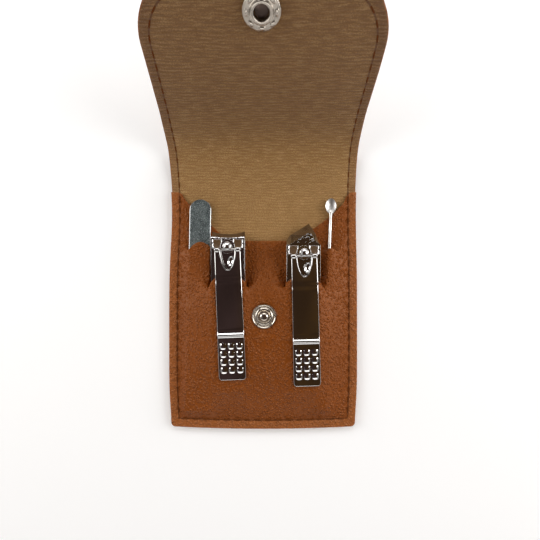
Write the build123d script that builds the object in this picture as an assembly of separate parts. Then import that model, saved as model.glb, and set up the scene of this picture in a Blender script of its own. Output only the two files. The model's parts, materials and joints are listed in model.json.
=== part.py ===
"""Manicure set case: a snap-closed leatherette pouch with four tools in its slit pocket.

Frame: millimetres. The pouch lies on its back. The origin is the centre of the back
panel's outer face, +X is to the right, +Y runs towards the flap, +Z up to the viewer.
The flap is built lying flat and is then folded to the half-open angle it rests at.
"""

import os
from math import cos, radians, tan

from build123d import *

# ---------------------------------------------------------------- pouch sheets
cover_thickness = 1.0       # outer leatherette
lining_thickness = 0.6      # ribbed cloth glued inside the cover
lining_rim = 1.0            # leatherette left showing round the lining
bottom_corner_radius = 3.0
fold_gap = 0.1              # half the slot between two panels at a fold

# ---------------------------------------------------------------- folds and flap
spine_length = 10.8         # lower fold to upper fold
flap_end_margin = 10.4      # snap centre to the flap's free end
flap_corner_radius = 18.5
spine_rest_angle = 8.0      # spine above flat, as it lies half open
flap_rest_angle = 52.5      # flap above the spine, as it lies half open
flap_closing_slope = 3.5    # the closed flap leans this far down to its snap

# ---------------------------------------------------------------- pocket panel
panel_thickness = 0.9
panel_top_margin = 3.6      # below the lower fold
side_seam_width = 4.0       # flat leather outside the pockets
bottom_seam_width = 4.2
scoop_depth = 18.4          # the scooped mouth, below the panel's top corners
scoop_side_margin = 3.7     # from the panel's side edges
scoop_slope_run = 16.0      # sideways run of each sloping side
scoop_shoulder_drop = 1.9
scoop_floor_radius = 8.0
scoop_shoulder_radius = 2.5
clipper_slit_margin = 36.5  # below the lower fold
slender_slit_margin = 24.7  # below the lower fold, for the file and the ear pick
pocket_clearance = 0.25     # leather to metal
slit_side_room = 1.0        # slit wider than the clipper, each side
tent_wall = 0.35            # leather that drops between the file and the clipper

# ---------------------------------------------------------------- rooms between the pieces
# the case is as wide and as long as the tools, their rooms and the seams add up to
file_side_room = 2.45       # side seam to the file's foot
file_clipper_gap = 0.45
left_clipper_snap_gap = 2.6
right_clipper_snap_gap = 3.85
pick_clipper_gap = 2.55
pick_side_room = 3.85       # side seam to the spoon
tail_room = 3.3             # bottom seam to the longest tool

# ---------------------------------------------------------------- stitching
stitch_inset = 3.0
bottom_stitch_inset = 3.2
flap_end_stitch_inset = 4.2
stitch_pitch = 4.0
stitch_length = 2.9
stitch_width = 0.55
stitch_height = 0.25

# ---------------------------------------------------------------- snap fastener
snap_margin = 50.0          # below the lower fold
stud_radius = 4.55
stud_base_thickness = 0.35
stud_rim_wire_radius = 0.4
stud_ring_radius = 3.0
stud_ring_wall = 0.7
stud_ring_height = 0.8
stud_nib_radius = 1.55
stud_neck_radius = 1.3
nib_clearance = 0.15        # nib to the rolled shank in the closed snap
rivet_flange_radius = 3.8
rivet_flange_thickness = 0.4
rivet_shank_radius = 0.9
socket_radius = 5.2
socket_base_thickness = 0.2
socket_height = 1.6
socket_lip_radius = 3.1
socket_bore_radius = 2.1
socket_dimple_count = 8
socket_dimple_radius = 0.9
socket_dimple_depth = 0.2
socket_spring_wire_radius = 0.18
socket_spring_gap_degrees = 30.0
cap_radius = 5.2
cap_height = 1.1
cap_shank_radius = 1.5
cap_roll_radius = 1.9
cap_roll_thickness = 0.2
fit_clearance = 0.05

# ---------------------------------------------------------------- nail file
file_width = 8.0
file_thickness = 0.9
file_length = 79.0
file_top_margin = 6.5       # below the lower fold
file_tilt = 1.2             # degrees, its top leaning right
file_corner_radius = 3.3
file_bevel = 0.3

# ---------------------------------------------------------------- ear pick
pick_length = 79.0
pick_top_margin = 6.1
pick_tilt = 2.1
pick_stem_radius = 0.55
pick_spoon_width = 4.1
pick_spoon_length = 6.0
pick_spoon_bowl_radius = 6.0
pick_handle_width = 2.4
pick_handle_length = 22.0

# ---------------------------------------------------------------- nail clippers
left_post_margin = 24.4     # post centre, below the lower fold
right_post_margin = 26.7
left_lever_swing = 2.1      # degrees, the stored lever's tail turned to the right
right_lever_swing = 1.6
arm_thickness = 1.0
arm_gap = 0.1               # between the arms at the tail rivet
arm_head_width = 12.2
arm_tail_width = 9.5
arm_head_length = 20.0      # full width this far below the post
post_to_tail = 51.0         # post centre to the arms' tail end
post_to_tail_rivet = 48.6
post_rise = 4.1             # upper arm's underside over the lower arm's, at the post
straight_jaw_reach = 5.7    # post centre to the lower cutting edge
straight_edge_hollow = 0.9
slant_jaw_reach = 11.0
slant_jaw_shoulder = 3.6
slant_tip_offset = 2.2      # the slanted jaw's tip, right of the clipper's centre
slant_left_reach = 6.6
upper_jaw_setback = 1.7
slant_upper_setback = 3.4
jaw_curl_length = 4.2
lower_jaw_rise = 1.5
upper_jaw_drop = 1.9
blade_edge = 0.3
pin_radius = 1.4
pin_flange_radius = 2.3
pin_flange_thickness = 0.45
pin_running_clearance = 0.05
pin_arm_clearance = 0.5
pin_collar_radius = 2.6
pin_collar_thickness = 0.4
pin_collar_gap = 0.15
pin_neck_radius = 0.65
pin_head_radius = 1.55
pin_head_thickness = 0.7
tail_rivet_radius = 1.3
tail_rivet_head_radius = 2.0
tail_rivet_head_thickness = 0.25
tail_rivet_countersink = 0.5

# ---------------------------------------------------------------- clipper levers
lever_thickness = 0.9
lever_tail_width = 10.0
lever_head_width = 9.4
lever_length = 48.9         # post centre to the lever's tail end
lever_tail_rise = 0.25      # above the pocket leather, at the tail
lever_bend_length = 12.1    # post centre to the bend in the lever
lever_bar_radius = 0.45
lever_bar_clearance = 0.1
lever_lobe_radius = 1.0
lever_window_width = 6.0
lever_window_length = 7.6
lever_pad_length = 16.7     # thumb pad, from the tail end
lever_pad_step = 0.12
lever_corner_radius = 1.3
grip_column_count = 3
grip_row_count = 4
grip_pitch = 2.95
grip_radius = 1.15
grip_height = 0.2
grip_tail_margin = 3.8

# ---------------------------------------------------------------- derived places
file_lean = file_length * tan(radians(file_tilt))
left_run = (side_seam_width + file_side_room + file_lean + file_width + file_clipper_gap
            + arm_head_width + left_clipper_snap_gap + stud_radius)
right_run = (stud_radius + right_clipper_snap_gap + arm_head_width + pick_clipper_gap
             + pick_spoon_width + pick_side_room + side_seam_width)
case_width = left_run + right_run
half_width = case_width / 2
snap_x = left_run - half_width
left_clipper_x = snap_x - stud_radius - left_clipper_snap_gap - arm_head_width / 2
right_clipper_x = snap_x + stud_radius + right_clipper_snap_gap + arm_head_width / 2
file_top_x = left_clipper_x - arm_head_width / 2 - file_clipper_gap - file_width / 2
pick_top_x = right_clipper_x + arm_head_width / 2 + pick_clipper_gap + pick_spoon_width / 2
deepest_tool = max(file_top_margin + file_length, pick_top_margin + pick_length,
                   left_post_margin + post_to_tail + tail_room,
                   right_post_margin + post_to_tail + tail_room)
body_length = deepest_tool + tail_room + bottom_seam_width
fold_y = body_length / 2
bottom_y = -body_length / 2
inner_z = cover_thickness + lining_thickness
panel_top_y = fold_y - panel_top_margin
clipper_slit_y = fold_y - clipper_slit_margin
slender_slit_y = fold_y - slender_slit_margin
bottom_seam_y = bottom_y + bottom_seam_width
tool_z = inner_z + panel_thickness + pocket_clearance
snap_y = fold_y - snap_margin
flap_fold_y = fold_y + spine_length
snap_reach = snap_margin / cos(radians(flap_closing_slope))
socket_y = flap_fold_y + snap_reach
flap_end_y = socket_y + flap_end_margin
arm_tail_top = 2 * arm_thickness + arm_gap
arm_bend_reach = post_to_tail_rivet - tail_rivet_head_radius - fit_clearance
arm_slope = (post_rise - arm_thickness - arm_gap) / arm_bend_reach
rivet_top = arm_tail_top + fit_clearance + tail_rivet_head_thickness
file_y_top = fold_y - file_top_margin
file_bottom_y = file_y_top - file_length
pick_y_top = fold_y - pick_top_margin
tent_foot_y = fold_y - deepest_tool - 2 * pocket_clearance
deepest_tail_y = fold_y - max(left_post_margin, right_post_margin) - post_to_tail
tail_station_y = deepest_tail_y - 2 * pocket_clearance

# leather undersides above the back lining
file_cover_z = tool_z + file_thickness + pocket_clearance
pick_cover_z = tool_z + 2 * pick_stem_radius + pocket_clearance
tail_cover_z = tool_z + rivet_top + pocket_clearance
slit_arm_run = clipper_slit_margin - max(left_post_margin, right_post_margin)
slit_cover_z = (tool_z + post_rise + arm_thickness - arm_slope * slit_arm_run
                + pocket_clearance)
dip_z = tail_cover_z + pocket_clearance
stud_z = dip_z + panel_thickness
closed_snap_z = inner_z + spine_length - snap_margin * tan(radians(flap_closing_slope))
stud_nib_height = (closed_snap_z - socket_base_thickness - cap_roll_thickness
                   - nib_clearance - stud_z)
pin_height = post_rise + arm_thickness
collar_z = tool_z + pin_height + pin_collar_gap
bar_z = collar_z + pin_collar_thickness + lever_bar_clearance + lever_thickness / 2
bar_offset = pin_neck_radius + lever_bar_clearance + lever_bar_radius


def file_x(y):
    """X of the nail file's centre line at a height y of the pouch."""
    return file_top_x - (file_y_top - y) * tan(radians(file_tilt))


def pick_x(y):
    """X of the ear pick's centre line at y."""
    return pick_top_x - (pick_y_top - y) * tan(radians(pick_tilt))


def fold_spine(shape):
    """Turn a flat-built piece of the spine to its rest angle."""
    lower_fold = Axis((0, fold_y, inner_z), (1, 0, 0))
    return shape.rotate(lower_fold, spine_rest_angle)


def fold_flap(shape):
    """Turn a flat-built piece of the flap to its rest angle."""
    upper_fold = Axis((0, flap_fold_y, inner_z), (1, 0, 0))
    return fold_spine(shape.rotate(upper_fold, flap_rest_angle))


# ---------------------------------------------------------------- covers and linings
def body_outline(inset):
    """Back panel outline, square at the fold and rounded at the bottom."""
    width = case_width - 2 * inset
    length = body_length - inset - fold_gap
    centre_y = bottom_y + inset + length / 2
    sheet = Pos(0, centre_y) * Rectangle(width, length)
    low_corners = sheet.vertices().sort_by(Axis.Y)[:2]
    return fillet(low_corners, bottom_corner_radius)


def flap_outline(inset):
    """Flap outline in its flat place, with the two large corners at its free end."""
    width = case_width - 2 * inset
    start_y = flap_fold_y + fold_gap
    length = flap_end_y - inset - start_y
    sheet = Pos(0, start_y + length / 2) * Rectangle(width, length)
    far_corners = sheet.vertices().sort_by(Axis.Y)[-2:]
    return fillet(far_corners, flap_corner_radius - inset)


def spine_sheet(inset, thickness):
    """One sheet of the spine between the two folds."""
    length = spine_length - 2 * fold_gap
    return extrude(Pos(0, fold_y + spine_length / 2) * Rectangle(case_width - 2 * inset, length),
                   thickness)


def back_cover():
    return extrude(body_outline(0), cover_thickness)


def back_lining():
    return Pos(0, 0, cover_thickness) * extrude(body_outline(lining_rim), lining_thickness)


def spine_cover():
    return fold_spine(spine_sheet(0, cover_thickness))


def spine_lining():
    return fold_spine(Pos(0, 0, cover_thickness) * spine_sheet(lining_rim, lining_thickness))


def shank_hole():
    """The hole punched through the flap for the cap's shank."""
    return Pos(snap_x, socket_y, inner_z / 2) * Cylinder(cap_shank_radius + fit_clearance,
                                                         2 * inner_z)


def flap_cover():
    return fold_flap(extrude(flap_outline(0), cover_thickness) - shank_hole())


def flap_lining():
    sheet = Pos(0, 0, cover_thickness) * extrude(flap_outline(lining_rim), lining_thickness)
    return fold_flap(sheet - shank_hole())


# ---------------------------------------------------------------- pocket panel
def leather_section(y, underside):
    """Upright section of the panel at y: the underside line and its copy one skin above."""
    skin = [(x, y, z + panel_thickness) for x, z in reversed(underside)]
    return make_face(Polyline([(x, y, z) for x, z in underside] + skin, close=True))


def lower_line(y, arm_half, clipper_cover, file_cover, pick_cover, dip_cover):
    """Underside below the clipper slits, tented over file, clippers, snap and pick."""
    column = arm_half + slit_side_room
    seam_x = half_width - side_seam_width
    dip_half = stud_radius + pocket_clearance
    return [
        (-half_width, inner_z),
        (-seam_x, inner_z),
        (file_x(y) - file_width / 2 - pocket_clearance, file_cover),
        (left_clipper_x - column, clipper_cover),
        (left_clipper_x + column, clipper_cover),
        (snap_x - dip_half, dip_cover),
        (snap_x + dip_half, dip_cover),
        (right_clipper_x - column, clipper_cover),
        (right_clipper_x + column, clipper_cover),
        (pick_x(y) + pick_stem_radius + 2 * pocket_clearance, pick_cover),
        (seam_x, inner_z),
        (half_width, inner_z),
    ]


def upper_line(y, dip_cover):
    """Underside above the clipper slits, flat behind the clippers."""
    seam_x = half_width - side_seam_width
    arm_half = arm_head_width / 2
    file_right = file_x(y) + file_width / 2 + pocket_clearance / 2
    dip_half = stud_radius + pocket_clearance
    return [
        (-half_width, inner_z),
        (-seam_x, inner_z),
        (file_x(y) - file_width / 2 - pocket_clearance, file_cover_z),
        (file_right, file_cover_z),
        (file_right + tent_wall, inner_z),
        (left_clipper_x + arm_half + tent_wall, inner_z),
        (snap_x - dip_half, dip_cover),
        (snap_x + dip_half, dip_cover),
        (right_clipper_x - arm_half - tent_wall, inner_z),
        (right_clipper_x + arm_half + tent_wall, inner_z),
        (pick_x(y) - pick_stem_radius - 2 * pocket_clearance, pick_cover_z),
        (pick_x(y) + pick_stem_radius + 2 * pocket_clearance, pick_cover_z),
        (seam_x, inner_z),
        (half_width, inner_z),
    ]


def scoop():
    """The scooped mouth cut from the top of the panel."""
    floor_y = panel_top_y - scoop_depth
    shoulder_y = panel_top_y - scoop_shoulder_drop
    side_x = half_width - scoop_side_margin
    right = [(side_x - scoop_slope_run, floor_y), (side_x, shoulder_y), (side_x, fold_y)]
    left = [(-x, y) for x, y in reversed(right)]
    mouth = make_face(Polyline(right + left, close=True))
    corners = mouth.vertices().sort_by(Axis.Y)
    mouth = fillet(corners[:2], scoop_floor_radius)
    shoulders = mouth.vertices().sort_by(Axis.Y)[-4:-2]
    mouth = fillet(shoulders, scoop_shoulder_radius)
    return extrude(mouth, 2 * slit_cover_z)


def pocket_panel():
    tail_half = arm_tail_width / 2
    head_half = arm_head_width / 2
    flat = (inner_z,) * 4
    tents = (file_cover_z, pick_cover_z, dip_z)
    lower_sections = [
        leather_section(bottom_y, lower_line(bottom_y, tail_half, *flat)),
        leather_section(bottom_seam_y, lower_line(bottom_seam_y, tail_half, *flat)),
        leather_section(tent_foot_y, lower_line(tent_foot_y, tail_half, pick_cover_z,
                                                file_cover_z, pick_cover_z, pick_cover_z)),
        leather_section(tail_station_y, lower_line(tail_station_y, tail_half, tail_cover_z,
                                                   *tents)),
        leather_section(clipper_slit_y, lower_line(clipper_slit_y, head_half, slit_cover_z,
                                                   *tents)),
    ]
    upper_sections = [
        leather_section(clipper_slit_y, upper_line(clipper_slit_y, dip_z)),
        leather_section(slender_slit_y, upper_line(slender_slit_y, inner_z)),
    ]
    plate_length = panel_top_y - slender_slit_y
    plate = Pos(0, slender_slit_y + plate_length / 2, inner_z + panel_thickness / 2) * Box(
        case_width, plate_length, panel_thickness)
    panel = loft(lower_sections, ruled=True) + loft(upper_sections, ruled=True) + plate
    panel = panel - scoop()
    panel = panel & extrude(body_outline(0), 2 * slit_cover_z)
    rivet_hole = Pos(snap_x, snap_y, stud_z) * Cylinder(rivet_shank_radius + fit_clearance,
                                                        4 * panel_thickness)
    return panel - rivet_hole


# ---------------------------------------------------------------- stitching
def stitch():
    """One thread stitch lying along X, its underside at z = 0."""
    return Pos(0, 0, stitch_height / 2) * Box(stitch_length, stitch_width, stitch_height)


def stitch_row(start, end, z):
    """Stitches at the set pitch, centred between two points of the sheet."""
    run = Vector(*end) - Vector(*start)
    count = int(run.length // stitch_pitch)
    heading = Vector(1, 0).get_signed_angle(run, Vector(0, 0, 1)) if run.length else 0
    first = (run.length - (count - 1) * stitch_pitch) / 2
    row = []
    for index in range(count):
        place = Vector(*start) + run.normalized() * (first + index * stitch_pitch)
        row.append(Pos(place.X, place.Y, z) * Rot(0, 0, heading) * stitch())
    return row


def stitch_arc(centre, radius, start_angle, end_angle, z):
    """Stitches round a corner, evenly shared over its arc."""
    arc_length = radians(abs(end_angle - start_angle)) * radius
    count = round(arc_length / stitch_pitch)
    step = (end_angle - start_angle) / count
    row = []
    for index in range(count):
        angle = start_angle + (index + 0.5) * step
        row.append(Pos(centre[0], centre[1], z) * Rot(0, 0, angle) * Pos(radius, 0)
                   * Rot(0, 0, 90) * stitch())
    return row


def pocket_stitching():
    side_x = half_width - stitch_inset
    low_y = bottom_y + bottom_stitch_inset
    top_z = inner_z + panel_thickness
    row_start = low_y + stitch_width
    right = stitch_row((side_x, row_start), (side_x, panel_top_y), top_z)
    left = stitch_row((-side_x, row_start), (-side_x, panel_top_y), top_z)
    low = stitch_row((-side_x, low_y), (side_x, low_y), top_z)
    return Compound(children=right + left + low)


def spine_stitching():
    side_x = half_width - stitch_inset
    rows = []
    for x in (-side_x, side_x):
        rows += stitch_row((x, fold_y), (x, flap_fold_y), inner_z)
    return Compound(children=[fold_spine(piece) for piece in rows])


def flap_stitching():
    side_x = half_width - stitch_inset
    end_y = flap_end_y - flap_end_stitch_inset
    radius = flap_corner_radius - flap_end_stitch_inset
    corner_x = side_x - radius
    corner_y = end_y - radius
    rows = []
    for x in (-side_x, side_x):
        rows += stitch_row((x, flap_fold_y + fold_gap), (x, corner_y), inner_z)
    rows += stitch_row((-corner_x, end_y), (corner_x, end_y), inner_z)
    rows += stitch_arc((corner_x, corner_y), radius, 0, 90, inner_z)
    rows += stitch_arc((-corner_x, corner_y), radius, 180, 90, inner_z)
    return Compound(children=[fold_flap(piece) for piece in rows])


# ---------------------------------------------------------------- snap fastener
def ring(outer, inner, bottom, height):
    """A plain ring standing on a level."""
    body = Pos(0, 0, bottom + height / 2) * Cylinder(outer, height)
    return body - Pos(0, 0, bottom + height / 2) * Cylinder(inner, 2 * height)


def snap_stud():
    """The nib with its rolled rim, on the front of the pocket."""
    base = Pos(0, 0, stud_base_thickness / 2) * Cylinder(stud_radius - stud_rim_wire_radius,
                                                         stud_base_thickness)
    rim = Pos(0, 0, stud_rim_wire_radius) * Torus(stud_radius - stud_rim_wire_radius,
                                                  stud_rim_wire_radius)
    wall = ring(stud_ring_radius, stud_ring_radius - stud_ring_wall, 0, stud_ring_height)
    neck = Pos(0, 0, stud_nib_height / 2) * Cylinder(stud_neck_radius, stud_nib_height)
    knob_height = stud_nib_height - stud_ring_height
    knob = Pos(0, 0, stud_nib_height - knob_height / 2) * Cylinder(stud_nib_radius, knob_height)
    knob = fillet(knob.edges().filter_by(GeomType.CIRCLE), knob_height / 4)
    bore_depth = stud_nib_height - 2 * stud_base_thickness
    bore = Pos(0, 0, bore_depth / 2) * Cylinder(rivet_shank_radius + fit_clearance, bore_depth)
    return Pos(snap_x, snap_y, stud_z) * (base + rim + wall + neck + knob - bore)


def stud_rivet():
    """The flanged rivet behind the pocket leather that holds the stud."""
    shank_length = panel_thickness + stud_nib_height - 3 * stud_base_thickness
    flange = Pos(0, 0, -rivet_flange_thickness / 2) * Cylinder(rivet_flange_radius,
                                                               rivet_flange_thickness)
    shank = Pos(0, 0, shank_length / 2) * Cylinder(rivet_shank_radius, shank_length)
    return Pos(snap_x, snap_y, dip_z) * (flange + shank)


def spring_groove_radius():
    return socket_bore_radius + 2 * socket_spring_wire_radius


def snap_socket():
    """The ring with a lipped bore, on the flap's lining."""
    flange = ring(socket_radius, cap_shank_radius + fit_clearance, 0, socket_base_thickness)
    edge = Pos(0, 0, socket_height / 3) * Torus(socket_radius - socket_height / 3,
                                                socket_height / 3)
    plate = ring(socket_radius - socket_height / 3, socket_bore_radius, 0, socket_height * 2 / 3)
    lip = ring(socket_lip_radius, socket_bore_radius, 0, socket_height)
    lip = fillet(lip.edges().group_by(Axis.Z)[-1], socket_base_thickness)
    body = flange + edge + plate + lip
    groove_height = 2 * (socket_spring_wire_radius + fit_clearance)
    groove_z = socket_height / 2
    body -= Pos(0, 0, groove_z) * Cylinder(spring_groove_radius() + fit_clearance, groove_height)
    dimple_pitch_radius = (socket_radius + socket_lip_radius) / 2
    sink = Pos(0, 0, socket_height * 2 / 3 + socket_dimple_radius - socket_dimple_depth) * Sphere(
        socket_dimple_radius)
    for spot in PolarLocations(dimple_pitch_radius, socket_dimple_count):
        body -= spot * sink
    return fold_flap(Pos(snap_x, socket_y, inner_z) * body)


def socket_spring():
    """The split wire ring that grips the nib, in its groove in the socket's bore."""
    wire_ring = Torus(spring_groove_radius() - socket_spring_wire_radius,
                      socket_spring_wire_radius,
                      major_angle=360 - socket_spring_gap_degrees)
    return fold_flap(Pos(snap_x, socket_y, inner_z + socket_height / 2) * wire_ring)


def snap_cap():
    """The domed cap outside the flap, its shank rolled over inside the socket."""
    sphere_radius = (cap_radius ** 2 + cap_height ** 2) / (2 * cap_height)
    dome = Pos(0, 0, sphere_radius - cap_height) * Sphere(sphere_radius)
    dome &= Pos(0, 0, -cap_height / 2) * Cylinder(cap_radius, cap_height)
    roll_bottom = inner_z + socket_base_thickness
    shank = Pos(0, 0, roll_bottom / 2) * Cylinder(cap_shank_radius, roll_bottom)
    roll = Pos(0, 0, roll_bottom + cap_roll_thickness / 2) * Cylinder(cap_roll_radius,
                                                                      cap_roll_thickness)
    return fold_flap(Pos(snap_x, socket_y) * (dome + shank + roll))


# ---------------------------------------------------------------- slender tools
def nail_file():
    blade = Pos(0, -file_length / 2) * Rectangle(file_width, file_length)
    blade = fillet(blade.vertices().sort_by(Axis.Y)[-2:], file_corner_radius)
    blade = fillet(blade.vertices().sort_by(Axis.Y)[:2], file_corner_radius / 2)
    blade = extrude(blade, file_thickness)
    blade = chamfer(blade.faces().sort_by(Axis.Z)[-1].edges(), file_bevel)
    return Pos(file_top_x, file_y_top, tool_z) * Rot(0, 0, -file_tilt) * blade


def ear_pick():
    """A wire stem with a shallow spoon above and a flattened grip below."""
    stem_top = -pick_spoon_length * 0.75
    stem_length = pick_length + stem_top
    stem = Pos(0, stem_top - stem_length / 2) * Rot(90, 0, 0) * Cylinder(pick_stem_radius,
                                                                         stem_length)
    spoon = extrude(Pos(0, -pick_spoon_length / 2) * Ellipse(pick_spoon_width / 2,
                                                             pick_spoon_length / 2),
                    2 * pick_stem_radius)
    spoon = Pos(0, 0, -pick_stem_radius) * spoon
    bowl_z = pick_spoon_bowl_radius
    bowl = Pos(0, -pick_spoon_length / 2, bowl_z) * Sphere(pick_spoon_bowl_radius)
    grip = Pos(0, -pick_length + pick_handle_length / 2) * Box(pick_handle_width,
                                                               pick_handle_length,
                                                               1.4 * pick_stem_radius)
    grip = fillet(grip.edges().filter_by(Axis.Z), pick_handle_width / 3)
    pick = stem + (spoon - bowl) + grip
    place = Pos(pick_top_x, pick_y_top, tool_z + pick_stem_radius)
    return place * Rot(0, 0, -pick_tilt) * pick


# ---------------------------------------------------------------- clipper arms
def arm_plan(front):
    """Plan of an arm: its front edge points, then the sides tapering to the tail."""
    head = arm_head_width / 2
    tail = arm_tail_width / 2
    sides = [(head, -arm_head_length), (tail, -post_to_tail), (-tail, -post_to_tail),
             (-head, -arm_head_length)]
    return make_face(Polyline(front + sides, close=True))


def straight_front(reach):
    """Front edge with the hollow that follows a finger nail."""
    head = arm_head_width / 2
    point_count = 9
    edge = []
    for index in range(point_count):
        share = 2 * index / (point_count - 1) - 1
        edge.append((head * share, reach - straight_edge_hollow * (1 - share ** 2)))
    return edge


def slanted_front(setback):
    """Front edge cut on a slant, rising to a tip right of the centre."""
    head = arm_head_width / 2
    shoulder = slant_jaw_reach - slant_jaw_shoulder - setback / 2
    return [(-head, slant_left_reach - setback - slant_jaw_shoulder / 2),
            (-head * 0.8, slant_left_reach - setback),
            (slant_tip_offset, slant_jaw_reach - setback),
            (head * 0.75, shoulder - setback / 2),
            (head, shoulder / 2)]


def lower_arm_side(reach):
    """Side view of the lower arm, its jaw curling up to the cutting edge."""
    curl = reach - jaw_curl_length
    outline = [(-post_to_tail, 0), (curl, 0), (reach - jaw_curl_length / 3, lower_jaw_rise / 3),
               (reach, lower_jaw_rise), (reach, lower_jaw_rise + blade_edge),
               (curl, arm_thickness), (-post_to_tail, arm_thickness)]
    return side_plate(outline)


def upper_arm_side(reach):
    """Side view of the upper arm, climbing to the post and curling down to its edge."""
    tail_z = arm_thickness + arm_gap
    top = tail_z + arm_thickness
    curl = max(reach - jaw_curl_length, pin_collar_radius + pin_collar_gap)
    edge_z = post_rise - upper_jaw_drop + arm_thickness
    outline = [(-post_to_tail, tail_z), (-arm_bend_reach, tail_z), (0, post_rise),
               (curl, post_rise), (reach, edge_z), (reach, edge_z + blade_edge),
               (reach - 0.1 * jaw_curl_length, post_rise + 0.6 * arm_thickness),
               (curl, post_rise + arm_thickness), (0, post_rise + arm_thickness),
               (-arm_bend_reach, top), (-post_to_tail, top)]
    return side_plate(outline)


def side_plate(outline):
    """Extrude a side view (y, z) across the clipper."""
    profile = make_face(Polyline([(0, y, z) for y, z in outline], close=True))
    return extrude(profile, arm_head_width, both=True)


def drill(y, radius):
    """An upright hole through both arms."""
    return Pos(0, y, post_rise) * Cylinder(radius, 4 * post_rise)


def rivet_recess():
    """The countersink in the lower arm for the tail rivet's foot."""
    return Pos(0, -post_to_tail_rivet, tail_rivet_countersink / 2) * Cylinder(
        tail_rivet_head_radius + fit_clearance, tail_rivet_countersink)


def lower_jaw(front, reach):
    arm = lower_arm_side(reach) & extrude(arm_plan(front), 2 * post_rise)
    flange_room = pin_flange_thickness + 2 * pin_running_clearance
    arm -= drill(0, pin_radius + pin_running_clearance)
    arm -= Pos(0, 0, flange_room / 2) * Cylinder(pin_flange_radius + pin_running_clearance,
                                                 flange_room)
    arm -= drill(-post_to_tail_rivet, tail_rivet_radius + fit_clearance)
    return arm - rivet_recess()


def upper_jaw(front, reach):
    arm = upper_arm_side(reach) & extrude(arm_plan(front), 2 * post_rise)
    arm -= drill(0, pin_radius + pin_arm_clearance)
    return arm - drill(-post_to_tail_rivet, tail_rivet_radius + 2 * fit_clearance)


def tail_rivet():
    """The rivet that joins the arms at the tail, its foot flush in the lower arm."""
    head_z = arm_tail_top + fit_clearance
    head = Pos(0, 0, head_z + tail_rivet_head_thickness / 2) * Cylinder(
        tail_rivet_head_radius, tail_rivet_head_thickness)
    shank = Pos(0, 0, head_z / 2) * Cylinder(tail_rivet_radius, head_z)
    foot_thickness = tail_rivet_countersink - fit_clearance
    foot = Pos(0, 0, foot_thickness / 2) * Cylinder(tail_rivet_head_radius, foot_thickness)
    return Pos(0, -post_to_tail_rivet) * (head + shank + foot)


def pivot_pin():
    """The post: foot flange, shank through both arms, collar, notched neck and head."""
    foot_z = pin_running_clearance
    collar_bottom = collar_z - tool_z
    neck_bottom = collar_bottom + pin_collar_thickness
    head_bottom = bar_z - tool_z + lever_bar_radius + 2 * lever_bar_clearance
    foot = Pos(0, 0, foot_z + pin_flange_thickness / 2) * Cylinder(pin_flange_radius,
                                                                  pin_flange_thickness)
    shank_length = collar_bottom - foot_z
    shank = Pos(0, 0, foot_z + shank_length / 2) * Cylinder(pin_radius, shank_length)
    collar = Pos(0, 0, collar_bottom + pin_collar_thickness / 2) * Cylinder(
        pin_collar_radius, pin_collar_thickness)
    neck_length = head_bottom - neck_bottom
    neck = Pos(0, 0, neck_bottom + neck_length / 2) * Cylinder(pin_neck_radius, neck_length)
    head = Pos(0, 0, head_bottom + pin_head_thickness / 2) * Cylinder(pin_head_radius,
                                                                      pin_head_thickness)
    head = fillet(head.edges().group_by(Axis.Z)[-1], pin_head_thickness / 3)
    return foot + shank + collar + neck + head


# ---------------------------------------------------------------- clipper lever
def lever_plan():
    """Plan of the lever with its window, the post at the origin and the tail at -Y."""
    head = lever_head_width / 2
    tail = lever_tail_width / 2
    strip = make_face(Polyline([(head, -bar_offset), (tail, -lever_length),
                                (-tail, -lever_length), (-head, -bar_offset)], close=True))
    strip = fillet(strip.vertices().sort_by(Axis.Y)[:2], lever_corner_radius)
    half = lever_window_width / 2
    window_end = -bar_offset - lever_window_length
    window = Pos(0, window_end + half) * Circle(half)
    slot_length = lever_window_length - half
    window += Pos(0, -bar_offset - slot_length / 2 + half / 2) * Rectangle(
        lever_window_width, slot_length + half)
    return strip - window


def lever(tail_underside):
    """The thumb lever in its own frame, z = 0 at the bar's centre."""
    half = lever_thickness / 2
    drop = bar_z - half - tail_underside
    outline = [(0, -half), (-lever_bend_length, -half), (-lever_length, -half - drop),
               (-lever_length, half - drop), (-lever_bend_length, half), (0, half)]
    side = make_face(Polyline([(0, y, z) for y, z in outline], close=True))
    strip = extrude(side, lever_tail_width, both=True)
    plan = Pos(0, 0, -2 * drop - lever_thickness) * extrude(lever_plan(), 4 * drop)
    strip &= plan
    bar = Pos(0, -bar_offset, 0) * Rot(0, 90, 0) * Cylinder(lever_bar_radius, lever_head_width)
    prong = (lever_head_width - lever_window_width) / 2
    lobes = []
    for side_sign in (-1, 1):
        centre_x = side_sign * (lever_head_width - prong) / 2
        lobes.append(Pos(centre_x, -bar_offset, 0) * Rot(0, 90, 0) * Cylinder(
            lever_lobe_radius, prong))
    slope = drop / (lever_length - lever_bend_length)
    pad_y = -lever_length + lever_pad_length

    def top_at(y):
        return half - slope * (-lever_bend_length - y)

    step = Pos(0, pad_y - lever_pad_length / 2, top_at(pad_y - lever_pad_length / 2) + half)
    tilt = Rot(Vector(1, 0, 0).get_signed_angle(Vector(1, 0, slope), Vector(0, -1, 0)), 0, 0)
    cutter = step * tilt * Pos(0, 0, -lever_pad_step) * Box(2 * lever_tail_width,
                                                            lever_pad_length, lever_thickness)
    body = strip + bar + lobes - cutter
    for column in range(grip_column_count):
        for row in range(grip_row_count):
            x = (column - (grip_column_count - 1) / 2) * grip_pitch
            y = -lever_length + grip_tail_margin + row * grip_pitch
            dome_radius = (grip_radius ** 2 + grip_height ** 2) / (2 * grip_height)
            z = top_at(y) - lever_pad_step + grip_height - dome_radius
            dome = Pos(x, y, z) * Sphere(dome_radius)
            dome &= Pos(x, y, top_at(y)) * Cylinder(grip_radius, lever_thickness)
            body += dome
    return body


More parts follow.
